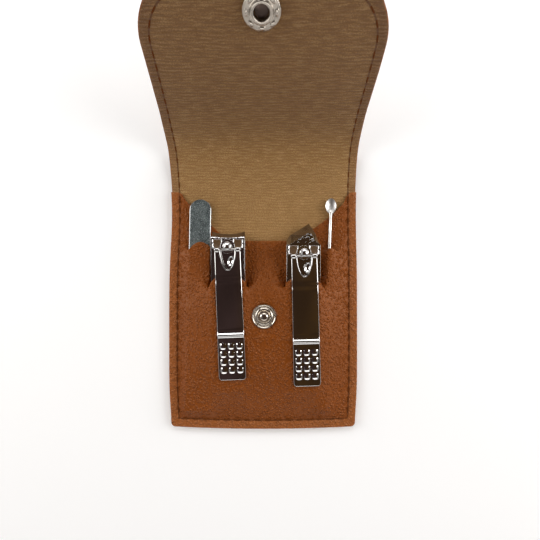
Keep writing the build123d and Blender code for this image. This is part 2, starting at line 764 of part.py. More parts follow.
def lever_tail_underside(post_margin):
    """Lowest height at which the lever's tail clears the tented pocket leather."""
    tail_y = fold_y - post_margin - lever_length
    climb = (slit_cover_z - tail_cover_z) / (clipper_slit_y - tail_station_y)
    leather_top = tail_cover_z + panel_thickness + climb * (tail_y - tail_station_y)
    return leather_top + lever_tail_rise


def clipper_parts(name, x, post_margin, swing, lower_front, upper_front, lower_reach,
                  upper_reach):
    """All five pieces of one clipper, in place in the pocket."""
    post = Pos(x, fold_y - post_margin, tool_z)
    lever_place = Pos(x, fold_y - post_margin, bar_z) * Rot(0, 0, swing)
    return {
        f"{name}_lower_jaw": post * lower_jaw(lower_front, lower_reach),
        f"{name}_upper_jaw": post * upper_jaw(upper_front, upper_reach),
        f"{name}_tail_rivet": post * tail_rivet(),
        f"{name}_pivot_pin": post * pivot_pin(),
        f"{name}_lever": lever_place * lever(lever_tail_underside(post_margin)),
    }


def all_parts():
    upper_straight_reach = straight_jaw_reach - upper_jaw_setback
    parts = {
        "back_cover": back_cover(),
        "back_lining": back_lining(),
        "pocket_panel": pocket_panel(),
        "pocket_stitching": pocket_stitching(),
        "spine_cover": spine_cover(),
        "spine_lining": spine_lining(),
        "spine_stitching": spine_stitching(),
        "flap_cover": flap_cover(),
        "flap_lining": flap_lining(),
        "flap_stitching": flap_stitching(),
        "snap_stud": snap_stud(),
        "stud_rivet": stud_rivet(),
        "snap_socket": snap_socket(),
        "socket_spring": socket_spring(),
        "snap_cap": snap_cap(),
        "nail_file": nail_file(),
        "ear_pick": ear_pick(),
    }
    parts |= clipper_parts("straight_clipper", left_clipper_x, left_post_margin,
                           left_lever_swing, straight_front(straight_jaw_reach),
                           straight_front(upper_straight_reach), straight_jaw_reach,
                           upper_straight_reach)
    parts |= clipper_parts("slanted_clipper", right_clipper_x, right_post_margin,
                           right_lever_swing, slanted_front(0),
                           slanted_front(slant_upper_setback), slant_jaw_reach,
                           slant_jaw_reach - slant_upper_setback)
    return parts


os.makedirs("parts", exist_ok=True)
for node, shape in all_parts().items():
    export_step(shape, f"parts/{node}.step")
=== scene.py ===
"""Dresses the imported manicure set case: leatherette, ribbed lining, thread, snap and chrome tools.

Every length is in metres in the part's own frame: the pouch lies on its back on the floor,
+X is to the right, +Y runs towards the flap and +Z points up to the viewer.
"""

import logging
import math
from dataclasses import dataclass, field
from enum import Enum
from typing import Callable, Optional, Sequence

import bmesh
import bpy
import numpy as np
from mathutils import Matrix, Vector
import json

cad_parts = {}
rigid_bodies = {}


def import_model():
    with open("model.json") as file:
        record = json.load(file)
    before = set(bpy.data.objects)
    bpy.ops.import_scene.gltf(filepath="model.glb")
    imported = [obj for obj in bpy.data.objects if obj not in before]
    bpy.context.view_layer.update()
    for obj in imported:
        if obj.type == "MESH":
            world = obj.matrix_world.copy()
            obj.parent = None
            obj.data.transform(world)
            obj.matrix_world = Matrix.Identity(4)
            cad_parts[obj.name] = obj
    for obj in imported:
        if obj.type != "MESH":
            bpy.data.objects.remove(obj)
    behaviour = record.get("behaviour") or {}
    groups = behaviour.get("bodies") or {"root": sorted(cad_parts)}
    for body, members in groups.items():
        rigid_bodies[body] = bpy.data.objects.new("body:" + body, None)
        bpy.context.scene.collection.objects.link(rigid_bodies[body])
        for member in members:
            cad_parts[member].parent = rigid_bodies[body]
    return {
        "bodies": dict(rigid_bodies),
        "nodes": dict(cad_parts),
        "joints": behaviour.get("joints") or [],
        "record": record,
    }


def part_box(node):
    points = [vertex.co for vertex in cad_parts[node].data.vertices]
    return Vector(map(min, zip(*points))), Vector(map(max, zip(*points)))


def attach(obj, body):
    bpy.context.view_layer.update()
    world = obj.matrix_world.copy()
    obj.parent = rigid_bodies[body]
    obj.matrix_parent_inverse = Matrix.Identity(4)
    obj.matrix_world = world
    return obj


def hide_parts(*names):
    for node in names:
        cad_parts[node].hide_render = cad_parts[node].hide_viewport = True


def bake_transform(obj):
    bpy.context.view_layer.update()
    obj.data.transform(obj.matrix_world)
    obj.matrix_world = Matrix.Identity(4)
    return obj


LOG = logging.getLogger("manicure_set_case")
MM = 0.001
SEAM_REACH = 3.0 * MM
SEAM_GROOVE = (0.14 * MM, 0.4 * MM)
Colour = tuple[float, float, float]
Pair = tuple[float, float]
Array = np.ndarray
Piece = bpy.types.Object
Socket = bpy.types.NodeSocket


def srgb(red: float, green: float, blue: float) -> Colour:
    """Linear colour of an 8-bit screen colour.

    Args:
        red, green, blue: screen values from 0 to 255.

    Returns:
        The three linear values that a shader socket takes.
    """
    def linear(value: float) -> float:
        """Undo the screen curve for one channel."""
        share = value / 255.0
        return share / 12.92 if share <= 0.04045 else ((share + 0.055) / 1.055) ** 2.4

    return linear(red), linear(green), linear(blue)


class Bench:
    """The workbench: the few mesh operations that every sub-assembly uses."""

    @staticmethod
    def clear_selection() -> None:
        """Leave nothing selected, so that operators act on the new piece alone."""
        if bpy.context.mode != "OBJECT":
            bpy.ops.object.mode_set(mode="OBJECT")
        bpy.ops.object.select_all(action="DESELECT")

    @staticmethod
    def pick(*objects: Piece) -> Piece:
        """Select these objects and make the first one active.

        Args:
            objects: the objects to select.

        Returns:
            The first object.
        """
        Bench.clear_selection()
        for obj in objects:
            obj.select_set(True)
        bpy.context.view_layer.objects.active = objects[0]
        return objects[0]

    @staticmethod
    def named(name: str) -> Piece:
        """Name the object that an operator just added, and its mesh.

        Args:
            name: the piece's name.

        Returns:
            The active object.
        """
        obj = bpy.context.view_layer.objects.active
        obj.name = name
        obj.data.name = name
        return obj

    @staticmethod
    def settle(obj: Piece) -> Piece:
        """Bake the object's place into its mesh, so that the object sits at the origin.

        Args:
            obj: the piece.

        Returns:
            The same piece.
        """
        Bench.pick(obj)
        bpy.ops.object.transform_apply(location=True, rotation=True, scale=True)
        return obj

    @staticmethod
    def modify(obj: Piece, kind: str, **settings: object) -> Piece:
        """Add one modifier with its settings and apply it.

        Args:
            obj: the piece.
            kind: the modifier's type, such as "BEVEL".
            settings: its properties by name.

        Returns:
            The same piece.
        """
        Bench.pick(obj)
        modifier = obj.modifiers.new(kind.title(), kind)
        for key, value in settings.items():
            setattr(modifier, key, value)
        bpy.ops.object.modifier_apply(modifier=modifier.name)
        return obj

    @staticmethod
    def smooth(obj: Piece, degrees: float = 40.0) -> Piece:
        """Shade smooth, keeping edges sharper than an angle.

        Args:
            obj: the piece.
            degrees: the angle above which an edge stays sharp.

        Returns:
            The same piece.
        """
        Bench.pick(obj)
        bpy.ops.object.shade_smooth_by_angle(angle=math.radians(degrees))
        return obj

    @staticmethod
    def round_edges(obj: Piece, width: float, sharp: float, shading: float,
                    segments: int = 2) -> Piece:
        """Round the edges that turn more than an angle, and shade the piece smooth.

        Args:
            obj: the piece.
            width: the rounding's width.
            sharp: an edge that turns more than this many degrees is rounded.
            shading: an edge that turns more than this many degrees stays sharp.
            segments: how many steps the rounding has.

        Returns:
            The same piece.
        """
        Bench.modify(obj, "BEVEL", width=width, segments=segments, limit_method="ANGLE",
                     angle_limit=math.radians(sharp))
        return Bench.smooth(obj, shading)

    @staticmethod
    def sphere(name: str, segments: int, rings: int, radius: float = 1.0) -> Piece:
        """A ball at the origin, ready to be shaped.

        Args:
            name: the piece's name.
            segments: its steps round.
            rings: its steps from pole to pole.
            radius: its radius.

        Returns:
            The new piece.
        """
        Bench.clear_selection()
        bpy.ops.mesh.primitive_uv_sphere_add(segments=segments, ring_count=rings,
                                             radius=radius, location=(0, 0, 0))
        return Bench.named(name)

    @staticmethod
    def repeat(name: str, model: Piece, places: Sequence[Matrix]) -> Piece:
        """Copy a modelled piece to many places, each copy with its own mesh, and join them.

        Args:
            name: the joined piece's name.
            model: the piece, used up.
            places: where the copies go.

        Returns:
            The joined piece.
        """
        made = []
        for place in places:
            copy = bpy.data.objects.new(name, model.data.copy())
            bpy.context.scene.collection.objects.link(copy)
            copy.data.transform(place)
            made.append(copy)
        bpy.data.objects.remove(model)
        return Bench.join(name, made)

    @staticmethod
    def outward(obj: Piece) -> Piece:
        """Merge doubles and point every face outwards.

        Args:
            obj: a closed piece.

        Returns:
            The same piece.
        """
        Bench.pick(obj)
        bpy.ops.object.mode_set(mode="EDIT")
        bpy.ops.mesh.select_all(action="SELECT")
        bpy.ops.mesh.remove_doubles(threshold=1e-6)
        bpy.ops.mesh.normals_make_consistent(inside=False)
        bpy.ops.object.mode_set(mode="OBJECT")
        return obj

    @staticmethod
    def grid(name: str, columns: int, rows: int) -> Piece:
        """A flat unit grid whose vertices run along X first, ready to be shaped.

        Args:
            name: the piece's name.
            columns: vertices along X.
            rows: vertices along Y.

        Returns:
            The new piece, with a UV map named "flat".
        """
        Bench.clear_selection()
        bpy.ops.mesh.primitive_grid_add(x_subdivisions=columns - 1, y_subdivisions=rows - 1,
                                        size=2.0, location=(0, 0, 0))
        obj = Bench.named(name)
        obj.data.uv_layers[0].name = "flat"
        return obj

    @staticmethod
    def places(obj: Piece) -> Array:
        """Read where the mesh's vertices are.

        Args:
            obj: the piece.

        Returns:
            One row of three lengths for each vertex.
        """
        values = np.empty(len(obj.data.vertices) * 3)
        obj.data.vertices.foreach_get("co", values)
        return values.reshape(-1, 3)

    @staticmethod
    def move(obj: Piece, places: Array) -> None:
        """Move the mesh's vertices to these places."""
        obj.data.vertices.foreach_set("co", places.astype(np.float32).ravel())
        obj.data.update()

    @staticmethod
    def lay_flat(obj: Piece, flat: Array) -> None:
        """Write each vertex's flat place on the uncut sheet, in decimetres, as its UV.

        Args:
            obj: the piece.
            flat: one row of two lengths in metres for each vertex.
        """
        layer = obj.data.uv_layers["flat"].data
        loops = np.empty(len(obj.data.loops), dtype=np.int64)
        obj.data.loops.foreach_get("vertex_index", loops)
        layer.foreach_set("uv", (flat[loops] * 10.0).astype(np.float32).ravel())

    @staticmethod
    def paint(obj: Piece, name: str, values: Array) -> None:
        """Store one number a vertex for the materials to read."""
        layer = obj.data.attributes.get(name) or obj.data.attributes.new(name, "FLOAT", "POINT")
        layer.data.foreach_set("value", values.astype(np.float32))

    @staticmethod
    def lathe(name: str, outline: Sequence[Pair], steps: int) -> Piece:
        """Turn an outline round the Z axis into a closed piece.

        Args:
            name: the piece's name.
            outline: (radius, height) pairs in metres, from the axis out and back to it.
            steps: how many steps the turn has.

        Returns:
            The new piece.
        """
        Bench.clear_selection()
        bpy.ops.mesh.primitive_plane_add(size=1.0, location=(0, 0, 0))
        obj = Bench.named(name)
        mesh = bmesh.new()
        points = [mesh.verts.new((radius, 0.0, height)) for radius, height in outline]
        for low, high in zip(points, points[1:]):
            mesh.edges.new((low, high))
        mesh.to_mesh(obj.data)
        mesh.free()
        Bench.pick(obj)
        bpy.ops.object.mode_set(mode="EDIT")
        bpy.ops.mesh.select_all(action="SELECT")
        bpy.ops.mesh.spin(steps=steps, angle=2 * math.pi, center=(0, 0, 0), axis=(0, 0, 1))
        bpy.ops.mesh.select_all(action="SELECT")
        bpy.ops.mesh.remove_doubles(threshold=2e-6)
        bpy.ops.mesh.normals_make_consistent(inside=False)
        bpy.ops.object.mode_set(mode="OBJECT")
        return obj

    @staticmethod
    def join(name: str, pieces: Sequence[Piece]) -> Piece:
        """Join pieces into one object.

        Args:
            name: the joined piece's name.
            pieces: the pieces, which are used up.

        Returns:
            The joined piece.
        """
        obj = Bench.pick(*pieces)
        if len(pieces) > 1:
            bpy.ops.object.join()
        obj.name = name
        obj.data.name = name
        return obj

    @staticmethod
    def node_copy(node: str, name: str) -> Piece:
        """A merged copy of a part of the frame, ready for finer edges.

        Args:
            node: the part's node.
            name: the copy's name.

        Returns:
            The copy, which stands for the node from now on.
        """
        source = NODES[node]
        Bench.clear_selection()
        copy = bpy.data.objects.new(name, source.data.copy())
        copy.data.name = name
        bpy.context.scene.collection.objects.link(copy)
        copy.data.transform(source.matrix_world)
        copy.data.materials.clear()
        Bench.pick(copy)
        bpy.ops.object.mode_set(mode="EDIT")
        bpy.ops.mesh.select_all(action="SELECT")
        bpy.ops.mesh.remove_doubles(threshold=4e-6)
        bpy.ops.mesh.tris_convert_to_quads(face_threshold=0.01, shape_threshold=3.14)
        bpy.ops.mesh.dissolve_limited(angle_limit=math.radians(1.0))
        bpy.ops.object.mode_set(mode="OBJECT")
        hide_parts(node)
        return copy


NODES: dict[str, Piece] = {}


class Wiring:
    """One node tree and the few moves that are made in it."""

    def __init__(self, tree: bpy.types.NodeTree) -> None:
        """Keep the tree that the nodes go into."""
        self.tree = tree

    def add(self, kind: str, inputs: Optional[dict[object, object]] = None,
            **settings: object) -> bpy.types.Node:
        """Add a node, set its properties and fill its sockets.

        Args:
            kind: the node's type name without its ShaderNode start.
            inputs: socket name or number, and the value or the output socket to join.
            settings: the node's own properties.

        Returns:
            The new node.
        """
        node = self.tree.nodes.new(kind if kind.startswith("Node") else "ShaderNode" + kind)
        for key, value in settings.items():
            setattr(node, key, value)
        for key, value in (inputs or {}).items():
            self.feed(node.inputs[key], value)
        return node

    def feed(self, socket: Socket, value: object) -> None:
        """Join an output to a socket, or set the socket's own value.

        Args:
            socket: the input socket.
            value: an output socket, a number, or a tuple of numbers.
        """
        if isinstance(value, Socket):
            self.tree.links.new(value, socket)
        elif isinstance(value, tuple) and len(value) == 3 and socket.type == "RGBA":
            socket.default_value = (*value, 1.0)
        else:
            socket.default_value = value

    def maths(self, operation: str, first: object, second: object = 0.0,
              clamp: bool = False) -> Socket:
        """One sum on values."""
        node = self.add("Math", {0: first, 1: second}, operation=operation, use_clamp=clamp)
        return node.outputs[0]

    def ramp(self, value: object, low: float, high: float, to_low: float = 0.0,
             to_high: float = 1.0) -> Socket:
        """Carry a value smoothly from one range to another.

        Args:
            value: the value's socket.
            low, high: the range read.
            to_low, to_high: the range put out.

        Returns:
            The result's socket.
        """
        node = self.add("MapRange", {0: value, 1: low, 2: high, 3: to_low, 4: to_high},
                        interpolation_type="SMOOTHSTEP")
        return node.outputs[0]

    def blend(self, share: object, first: object, second: object, mode: str = "MIX") -> Socket:
        """Mix two colours.

        Args:
            share: how much of the second colour shows.
            first, second: the colours or their sockets.
            mode: how they are mixed.

        Returns:
            The mixed colour's socket.
        """
        node = self.add("Mix", data_type="RGBA", blend_type=mode)
        self.feed(node.inputs[0], share)
        self.feed(node.inputs[6], first)
        self.feed(node.inputs[7], second)
        return node.outputs[2]

    def noise(self, vector: object, scale: float, detail: float = 2.0,
              roughness: float = 0.5) -> Socket:
        """Soft noise between 0 and 1 over the given coordinates."""
        return self.add("TexNoise", {"Vector": vector, "Scale": scale, "Detail": detail,
                                     "Roughness": roughness}).outputs[0]

    def times(self, first: object, second: object) -> Socket:
        """One value times another."""
        return self.maths("MULTIPLY", first, second)

    def plus(self, first: object, second: object) -> Socket:
        """The sum of two values."""
        return self.maths("ADD", first, second)

    def minus(self, first: object, second: object) -> Socket:
        """One value less another."""
        return self.maths("SUBTRACT", first, second)

    def stretched(self, vector: object, factors: object) -> Socket:
        """Coordinates multiplied by a factor along each axis."""
        return self.add("VectorMath", {0: vector, 1: factors}, operation="MULTIPLY").outputs[0]


class GroupSocket(Enum):
    """The kinds of socket that a shared effect has."""

    VALUE = "NodeSocketFloat"
    COLOUR = "NodeSocketColor"
    VECTOR = "NodeSocketVector"


class SharedEffect:
    """A shader node group that is built once and placed in each material."""

    def __init__(self, name: str, inputs: dict[str, tuple[GroupSocket, object]],
                 outputs: dict[str, GroupSocket]) -> None:
        """Make the group with its named inputs and outputs.

        Args:
            name: the group's name.
            inputs: each input's kind and usual value, by name.
            outputs: each output's kind, by name.
        """
        self.tree = bpy.data.node_groups.new(name, "ShaderNodeTree")
        for label, (kind, usual) in inputs.items():
            socket = self.tree.interface.new_socket(label, in_out="INPUT", socket_type=kind.value)
            if usual is not None:
                full = (*usual, 1.0) if kind is GroupSocket.COLOUR else usual
                socket.default_value = full
        for label, kind in outputs.items():
            self.tree.interface.new_socket(label, in_out="OUTPUT", socket_type=kind.value)
        self.wiring = Wiring(self.tree)
        self.taken = self.wiring.add("NodeGroupInput").outputs
        self.given = self.wiring.add("NodeGroupOutput").inputs

    def give(self, label: str, value: Socket) -> None:
        """Join a result to the group's output of that name."""
        self.wiring.feed(self.given[label], value)

    def place(self, wiring: Wiring, inputs: dict[str, object]) -> bpy.types.Node:
        """Put the group into a material.

        Args:
            wiring: the material's own tree.
            inputs: values or sockets for the group's inputs.

        Returns:
            The group's node in that material.
        """
        node = wiring.add("Group")
        node.node_tree = self.tree
        for key, value in inputs.items():
            wiring.feed(node.inputs[key], value)
        return node


VALUE, COLOUR, VECTOR = GroupSocket.VALUE, GroupSocket.COLOUR, GroupSocket.VECTOR


def pebble_grain() -> SharedEffect:
    """The embossed grain of leatherette: rounded pebbles with fine creases between them.

    Returns:
        A group that takes a place and puts out a height, a crease mask and a drift mask.
    """
    effect = SharedEffect("pebble_grain", {"Place": (VECTOR, None), "Scale": (VALUE, 1.0)},
                          {"Height": VALUE, "Crease": VALUE, "Drift": VALUE})
    w = effect.wiring
    place, scale = effect.taken["Place"], effect.taken["Scale"]
    spread = w.add("VectorMath", {0: place}, operation="SCALE")
    w.feed(spread.inputs["Scale"], scale)
    warp = w.add("TexNoise", {"Vector": spread.outputs[0], "Scale": 900.0, "Detail": 1.0})
    offset = w.add("VectorMath", {0: warp.outputs["Color"], 1: (0.5, 0.5, 0.5)},
                   operation="SUBTRACT")
    push = w.add("VectorMath", {0: offset.outputs[0]}, operation="SCALE")
    push.inputs["Scale"].default_value = 0.0005
    bent = w.add("VectorMath", {0: spread.outputs[0], 1: push.outputs[0]}, operation="ADD")
    cells = w.add("TexVoronoi", {"Vector": bent.outputs[0], "Scale": 1120.0,
                                 "Smoothness": 0.5}, feature="SMOOTH_F1")
    creases = w.add("TexVoronoi", {"Vector": bent.outputs[0], "Scale": 1120.0},
                    feature="DISTANCE_TO_EDGE")
    fine = w.noise(bent.outputs[0], 2800.0, 2.0, 0.5)
    drift = w.noise(spread.outputs[0], 95.0, 3.0, 0.5)
    domes = w.ramp(cells.outputs["Distance"], 0.05, 0.62, 1.0, 0.0)
    mixed = w.plus(w.times(domes, 0.75), w.times(fine, 0.25))
    uneven = w.times(mixed, w.ramp(drift, 0.3, 0.7, 0.65, 1.0))
    effect.give("Height", uneven)
    effect.give("Crease", w.ramp(creases.outputs["Distance"], 0.0, 0.16, 1.0, 0.0))
    effect.give("Drift", drift)
    return effect


def ribbed_weave() -> SharedEffect:
    """Ribbed cloth: raised cords across the sheet with a fine weave over them.

    Returns:
        A group that takes the flat place of the sheet, in decimetres, and puts out a
        height, a valley mask and a slub mask.
    """
    effect = SharedEffect("ribbed_weave", {"Place": (VECTOR, None), "Pitch": (VALUE, 0.0105)},
                          {"Height": VALUE, "Valley": VALUE, "Slub": VALUE, "Weave": VALUE})
    w = effect.wiring
    place = effect.taken["Place"]
    parts = w.add("SeparateXYZ", {0: place})
    across, along = parts.outputs[0], parts.outputs[1]
    wander = w.add("TexNoise", {"Vector": place, "Scale": 14.0, "Detail": 2.0})
    sway = w.times(w.minus(wander.outputs[0], 0.5), 0.02)
    turns = w.maths("DIVIDE", w.plus(along, sway), effect.taken["Pitch"])
    rib = w.maths("COSINE", w.times(turns, 2 * math.pi))
    ridge = w.plus(w.times(rib, 0.5), 0.5)
    warp = w.maths("SINE", w.times(across, 2 * math.pi / 0.0052))
    weft = w.maths("SINE", w.times(along, 2 * math.pi / 0.0035))
    weave = w.plus(w.times(w.times(warp, weft), 0.5), 0.5)
    slub = w.noise(place, 160.0, 3.0, 0.65)
    streak = w.noise(w.stretched(place, (60.0, 420.0, 1.0)), 1.0, 2.0, 0.5)
    mixed = w.plus(w.times(ridge, 0.32), w.times(weave, 0.2))
    mixed = w.plus(mixed, w.times(slub, 0.75))
    effect.give("Height", w.plus(mixed, w.times(streak, 0.2)))
    effect.give("Valley", w.ramp(ridge, 0.0, 0.45, 1.0, 0.0))
    effect.give("Slub", w.plus(w.times(slub, 0.6), w.times(streak, 0.4)))
    effect.give("Weave", weave)
    return effect


def handling_marks() -> SharedEffect:
    """Marks of use on metal: fine scratches, dull finger smears and specks of dust.

    Returns:
        A group that takes a place and puts out scratch, smear and dust masks.
    """
    effect = SharedEffect("handling_marks", {"Place": (VECTOR, None), "Stretch": (VALUE, 9.0)},
                          {"Scratch": VALUE, "Smear": VALUE, "Dust": VALUE})
    w = effect.wiring
    place = effect.taken["Place"]
    scale = w.add("CombineXYZ", {0: effect.taken["Stretch"], 1: 1.0, 2: 1.0})
    lines = w.noise(w.stretched(place, scale.outputs[0]), 620.0, 3.0, 0.7)
    effect.give("Scratch", w.ramp(lines, 0.6, 0.72))
    effect.give("Smear", w.ramp(w.noise(place, 240.0, 3.0, 0.6), 0.42, 0.7))
    effect.give("Dust", w.ramp(w.noise(place, 3800.0, 1.0, 0.5), 0.7, 0.78))
    return effect


def edge_wear() -> SharedEffect:
    """Rubbed edges: a painted edge mask broken up by noise.

    Returns:
        A group that takes a mask and a place and puts out the broken mask.
    """
    effect = SharedEffect("edge_wear", {"Mask": (VALUE, 0.0), "Place": (VECTOR, None),
                                        "Amount": (VALUE, 0.6)}, {"Wear": VALUE})
    w = effect.wiring
    patches = w.ramp(w.noise(effect.taken["Place"], 420.0, 3.0, 0.65), 0.35, 0.7)
    broken = w.times(effect.taken["Mask"], patches)
    effect.give("Wear", w.maths("MULTIPLY", broken, effect.taken["Amount"], clamp=True))
    return effect


def twisted_ply() -> SharedEffect:
    """Twisted thread: slanting plies along each stitch.

    Returns:
        A group that takes a place along and round the stitch and puts out height and a painted shade
        mask, darker in the grooves between plies.
    """
    effect = SharedEffect("twisted_ply", {"Place": (VECTOR, None), "Ply": (VALUE, 0.0005)},
                          {"Height": VALUE, "Shade": VALUE})
    w = effect.wiring
    parts = w.add("SeparateXYZ", {0: effect.taken["Place"]})
    slant = w.plus(parts.outputs[0], w.times(parts.outputs[1], 0.8))
    wave = w.maths("SINE", w.times(w.maths("DIVIDE", slant, effect.taken["Ply"]), 2 * math.pi))
    fuzz = w.noise(effect.taken["Place"], 6000.0, 2.0, 0.6)
    effect.give("Height", w.plus(w.times(wave, 0.4), w.times(fuzz, 0.6)))
    effect.give("Shade", w.ramp(wave, -1.0, 0.6, 0.55, 1.0))
    return effect


class Effects:
    """The shared effects of this object's finishes, each built once."""

    def __init__(self) -> None:
        """Build the node groups."""
        self.grain = pebble_grain()
        self.ribs = ribbed_weave()
        self.marks = handling_marks()
        self.rubbing = edge_wear()
        self.ply = twisted_ply()


class Coat(Wiring):
    """A material's wiring, with its shader and the shared effects at hand."""

    def __init__(self, tree: bpy.types.NodeTree, effects: Effects) -> None:
        """Find the shader and keep the effects."""
        super().__init__(tree)
        self.shader, self.effects = tree.nodes["Principled BSDF"], effects

    def set(self, label: str, value: object) -> None:
        """Set the shader's socket of that name, or join a result to it."""
        self.feed(self.shader.inputs[label], value)

    def place(self) -> Socket:
        """Each point's place in the piece, in metres."""
        return self.add("TexCoord").outputs["Object"]

    def flat(self) -> Socket:
        """Each point's place on the uncut sheet, in decimetres."""
        return self.add("UVMap", uv_map="flat").outputs[0]

    def layers(self, tone: object, *coats: tuple[object, object]) -> Socket:
        """Lay colours over a tone in turn.

        Args:
            tone: the lowest colour.
            coats: how much of each further colour shows, and that colour.

        Returns:
            The last colour's socket.
        """
        for share, colour in coats:
            tone = self.blend(share, tone, colour)
        return tone

    def painted(self, name: str) -> Socket:
        """The number that a piece carries under this name."""
        return self.add("Attribute", attribute_name=name).outputs["Fac"]

    def seam_line(self) -> Socket:
        """Mask of the groove that a seam presses, from how near a point is to its stitches.

        Returns:
            The mask's socket.
        """
        gap = self.maths("ABSOLUTE", self.minus(self.painted("seam"), SEAM_REACH))
        low, high = SEAM_GROOVE
        return self.ramp(gap, low, high, 1.0, 0.0)

    def bump(self, height: object, depth: float, strength: float = 1.0,
             under: object = None) -> Socket:
        """Raise the surface by a height.

        Args:
            height: the height's socket.
            depth: how far a height of one stands up, in metres.
            strength: how much of the effect shows.
            under: the normal of a bump below this one.

        Returns:
            The normal's socket, already joined to the shader.
        """
        node = self.add("Bump", {"Height": height, "Distance": depth, "Strength": strength})
        if under is not None:
            self.feed(node.inputs["Normal"], under)
        self.set("Normal", node.outputs[0])
        return node.outputs[0]


@dataclass(frozen=True)
class Finish:
    """A finish: its name and the way its material is built."""

    name: str

    def material(self, effects: Effects) -> bpy.types.Material:
        """Make the material.

        Args:
            effects: the shared node groups.

        Returns:
            The new material.
        """
        made = bpy.data.materials.new(self.name)
        made.use_nodes = True
        self.dress(Coat(made.node_tree, effects))
        return made

    def dress(self, w: Coat) -> None:
        """Wire the shader; each finish has its own way."""
        raise NotImplementedError


@dataclass(frozen=True)
class LeatheretteFinish(Finish):
    """Embossed leatherette: warm brown, pebbled, paler where rubbed, with painted shade in its
    creases and seam groove and painted highlights on its pebble tops.
    """

    light: Colour = srgb(152, 79, 23)
    deep: Colour = srgb(112, 54, 9)
    edge: Colour = srgb(166, 100, 54)
    rubbed: Colour = srgb(178, 112, 64)
    # painted shade: the dark colour laid into the grain's creases and the seam groove
    pressed: Colour = srgb(66, 28, 8)
    sheen: Colour = (1.0, 0.62, 0.38)
    grain_depth: float = 0.0007

    def dress(self, w: Coat) -> None:
        """Wire grain, drift, wear, painted highlights and painted shade in the creases and pressed
        seams into the shader.

        Args:
            w: the material to wire.
        """
        place = w.stretched(w.flat(), (0.1, 0.1, 0.1))
        grain = w.effects.grain.place(w, {"Place": place})
        seam = w.seam_line()
        wear = w.effects.rubbing.place(w, {"Mask": w.painted("wear"), "Place": place,
                                         "Amount": 0.75})
        # painted highlight: the tops of the pebbles are made lighter
        peak_highlight = w.ramp(grain.outputs["Height"], 0.35, 0.85)
        w.set("Base Color", w.layers(
            self.deep,
            (w.ramp(grain.outputs["Drift"], 0.3, 0.72, 0.36, 0.56), self.light),
            (w.times(w.painted("margin"), 0.65), self.edge),
            (w.times(peak_highlight, 0.4), self.light),
            # painted shade: the grain's creases and the seam groove are darkened
            (w.times(grain.outputs["Crease"], 0.32), self.pressed),
            (w.times(seam, 0.6), self.pressed),
            (wear.outputs["Wear"], self.rubbed)))
        gloss = w.ramp(grain.outputs["Height"], 0.2, 0.9, 0.4, 0.25)
        gloss = w.plus(gloss, w.times(wear.outputs["Wear"], 0.12))
        w.set("Roughness", gloss)
        w.set("Specular IOR Level", 0.46)
        w.set("Specular Tint", self.sheen)
        waves = w.bump(grain.outputs["Drift"], 0.0004, 0.5)
        w.bump(grain.outputs["Height"], self.grain_depth, 1.0, waves)


@dataclass(frozen=True)
class CutEdgeFinish(Finish):
    """The cut edge of the leatherette: backing fibres under a thin dyed skin."""

    skin: Colour = srgb(104, 62, 34)
    fibre: Colour = srgb(124, 84, 52)

    def dress(self, w: Coat) -> None:
        """Wire fibres and layer lines into the shader.

        Args:
            w: the material to wire.
        """
        place = w.place()
        strands = w.noise(w.stretched(place, (500.0, 500.0, 5200.0)), 1.0, 3.0, 0.65)
        fuzz = w.noise(place, 5200.0, 2.0, 0.6)
        mask = w.ramp(w.plus(w.times(strands, 0.6), w.times(fuzz, 0.4)), 0.42, 0.64)
        w.set("Base Color", w.blend(mask, self.skin, self.fibre))
        w.set("Roughness", w.ramp(fuzz, 0.3, 0.7, 0.62, 0.85))
        w.set("Specular IOR Level", 0.3)
        w.bump(strands, 0.00012, 0.8)


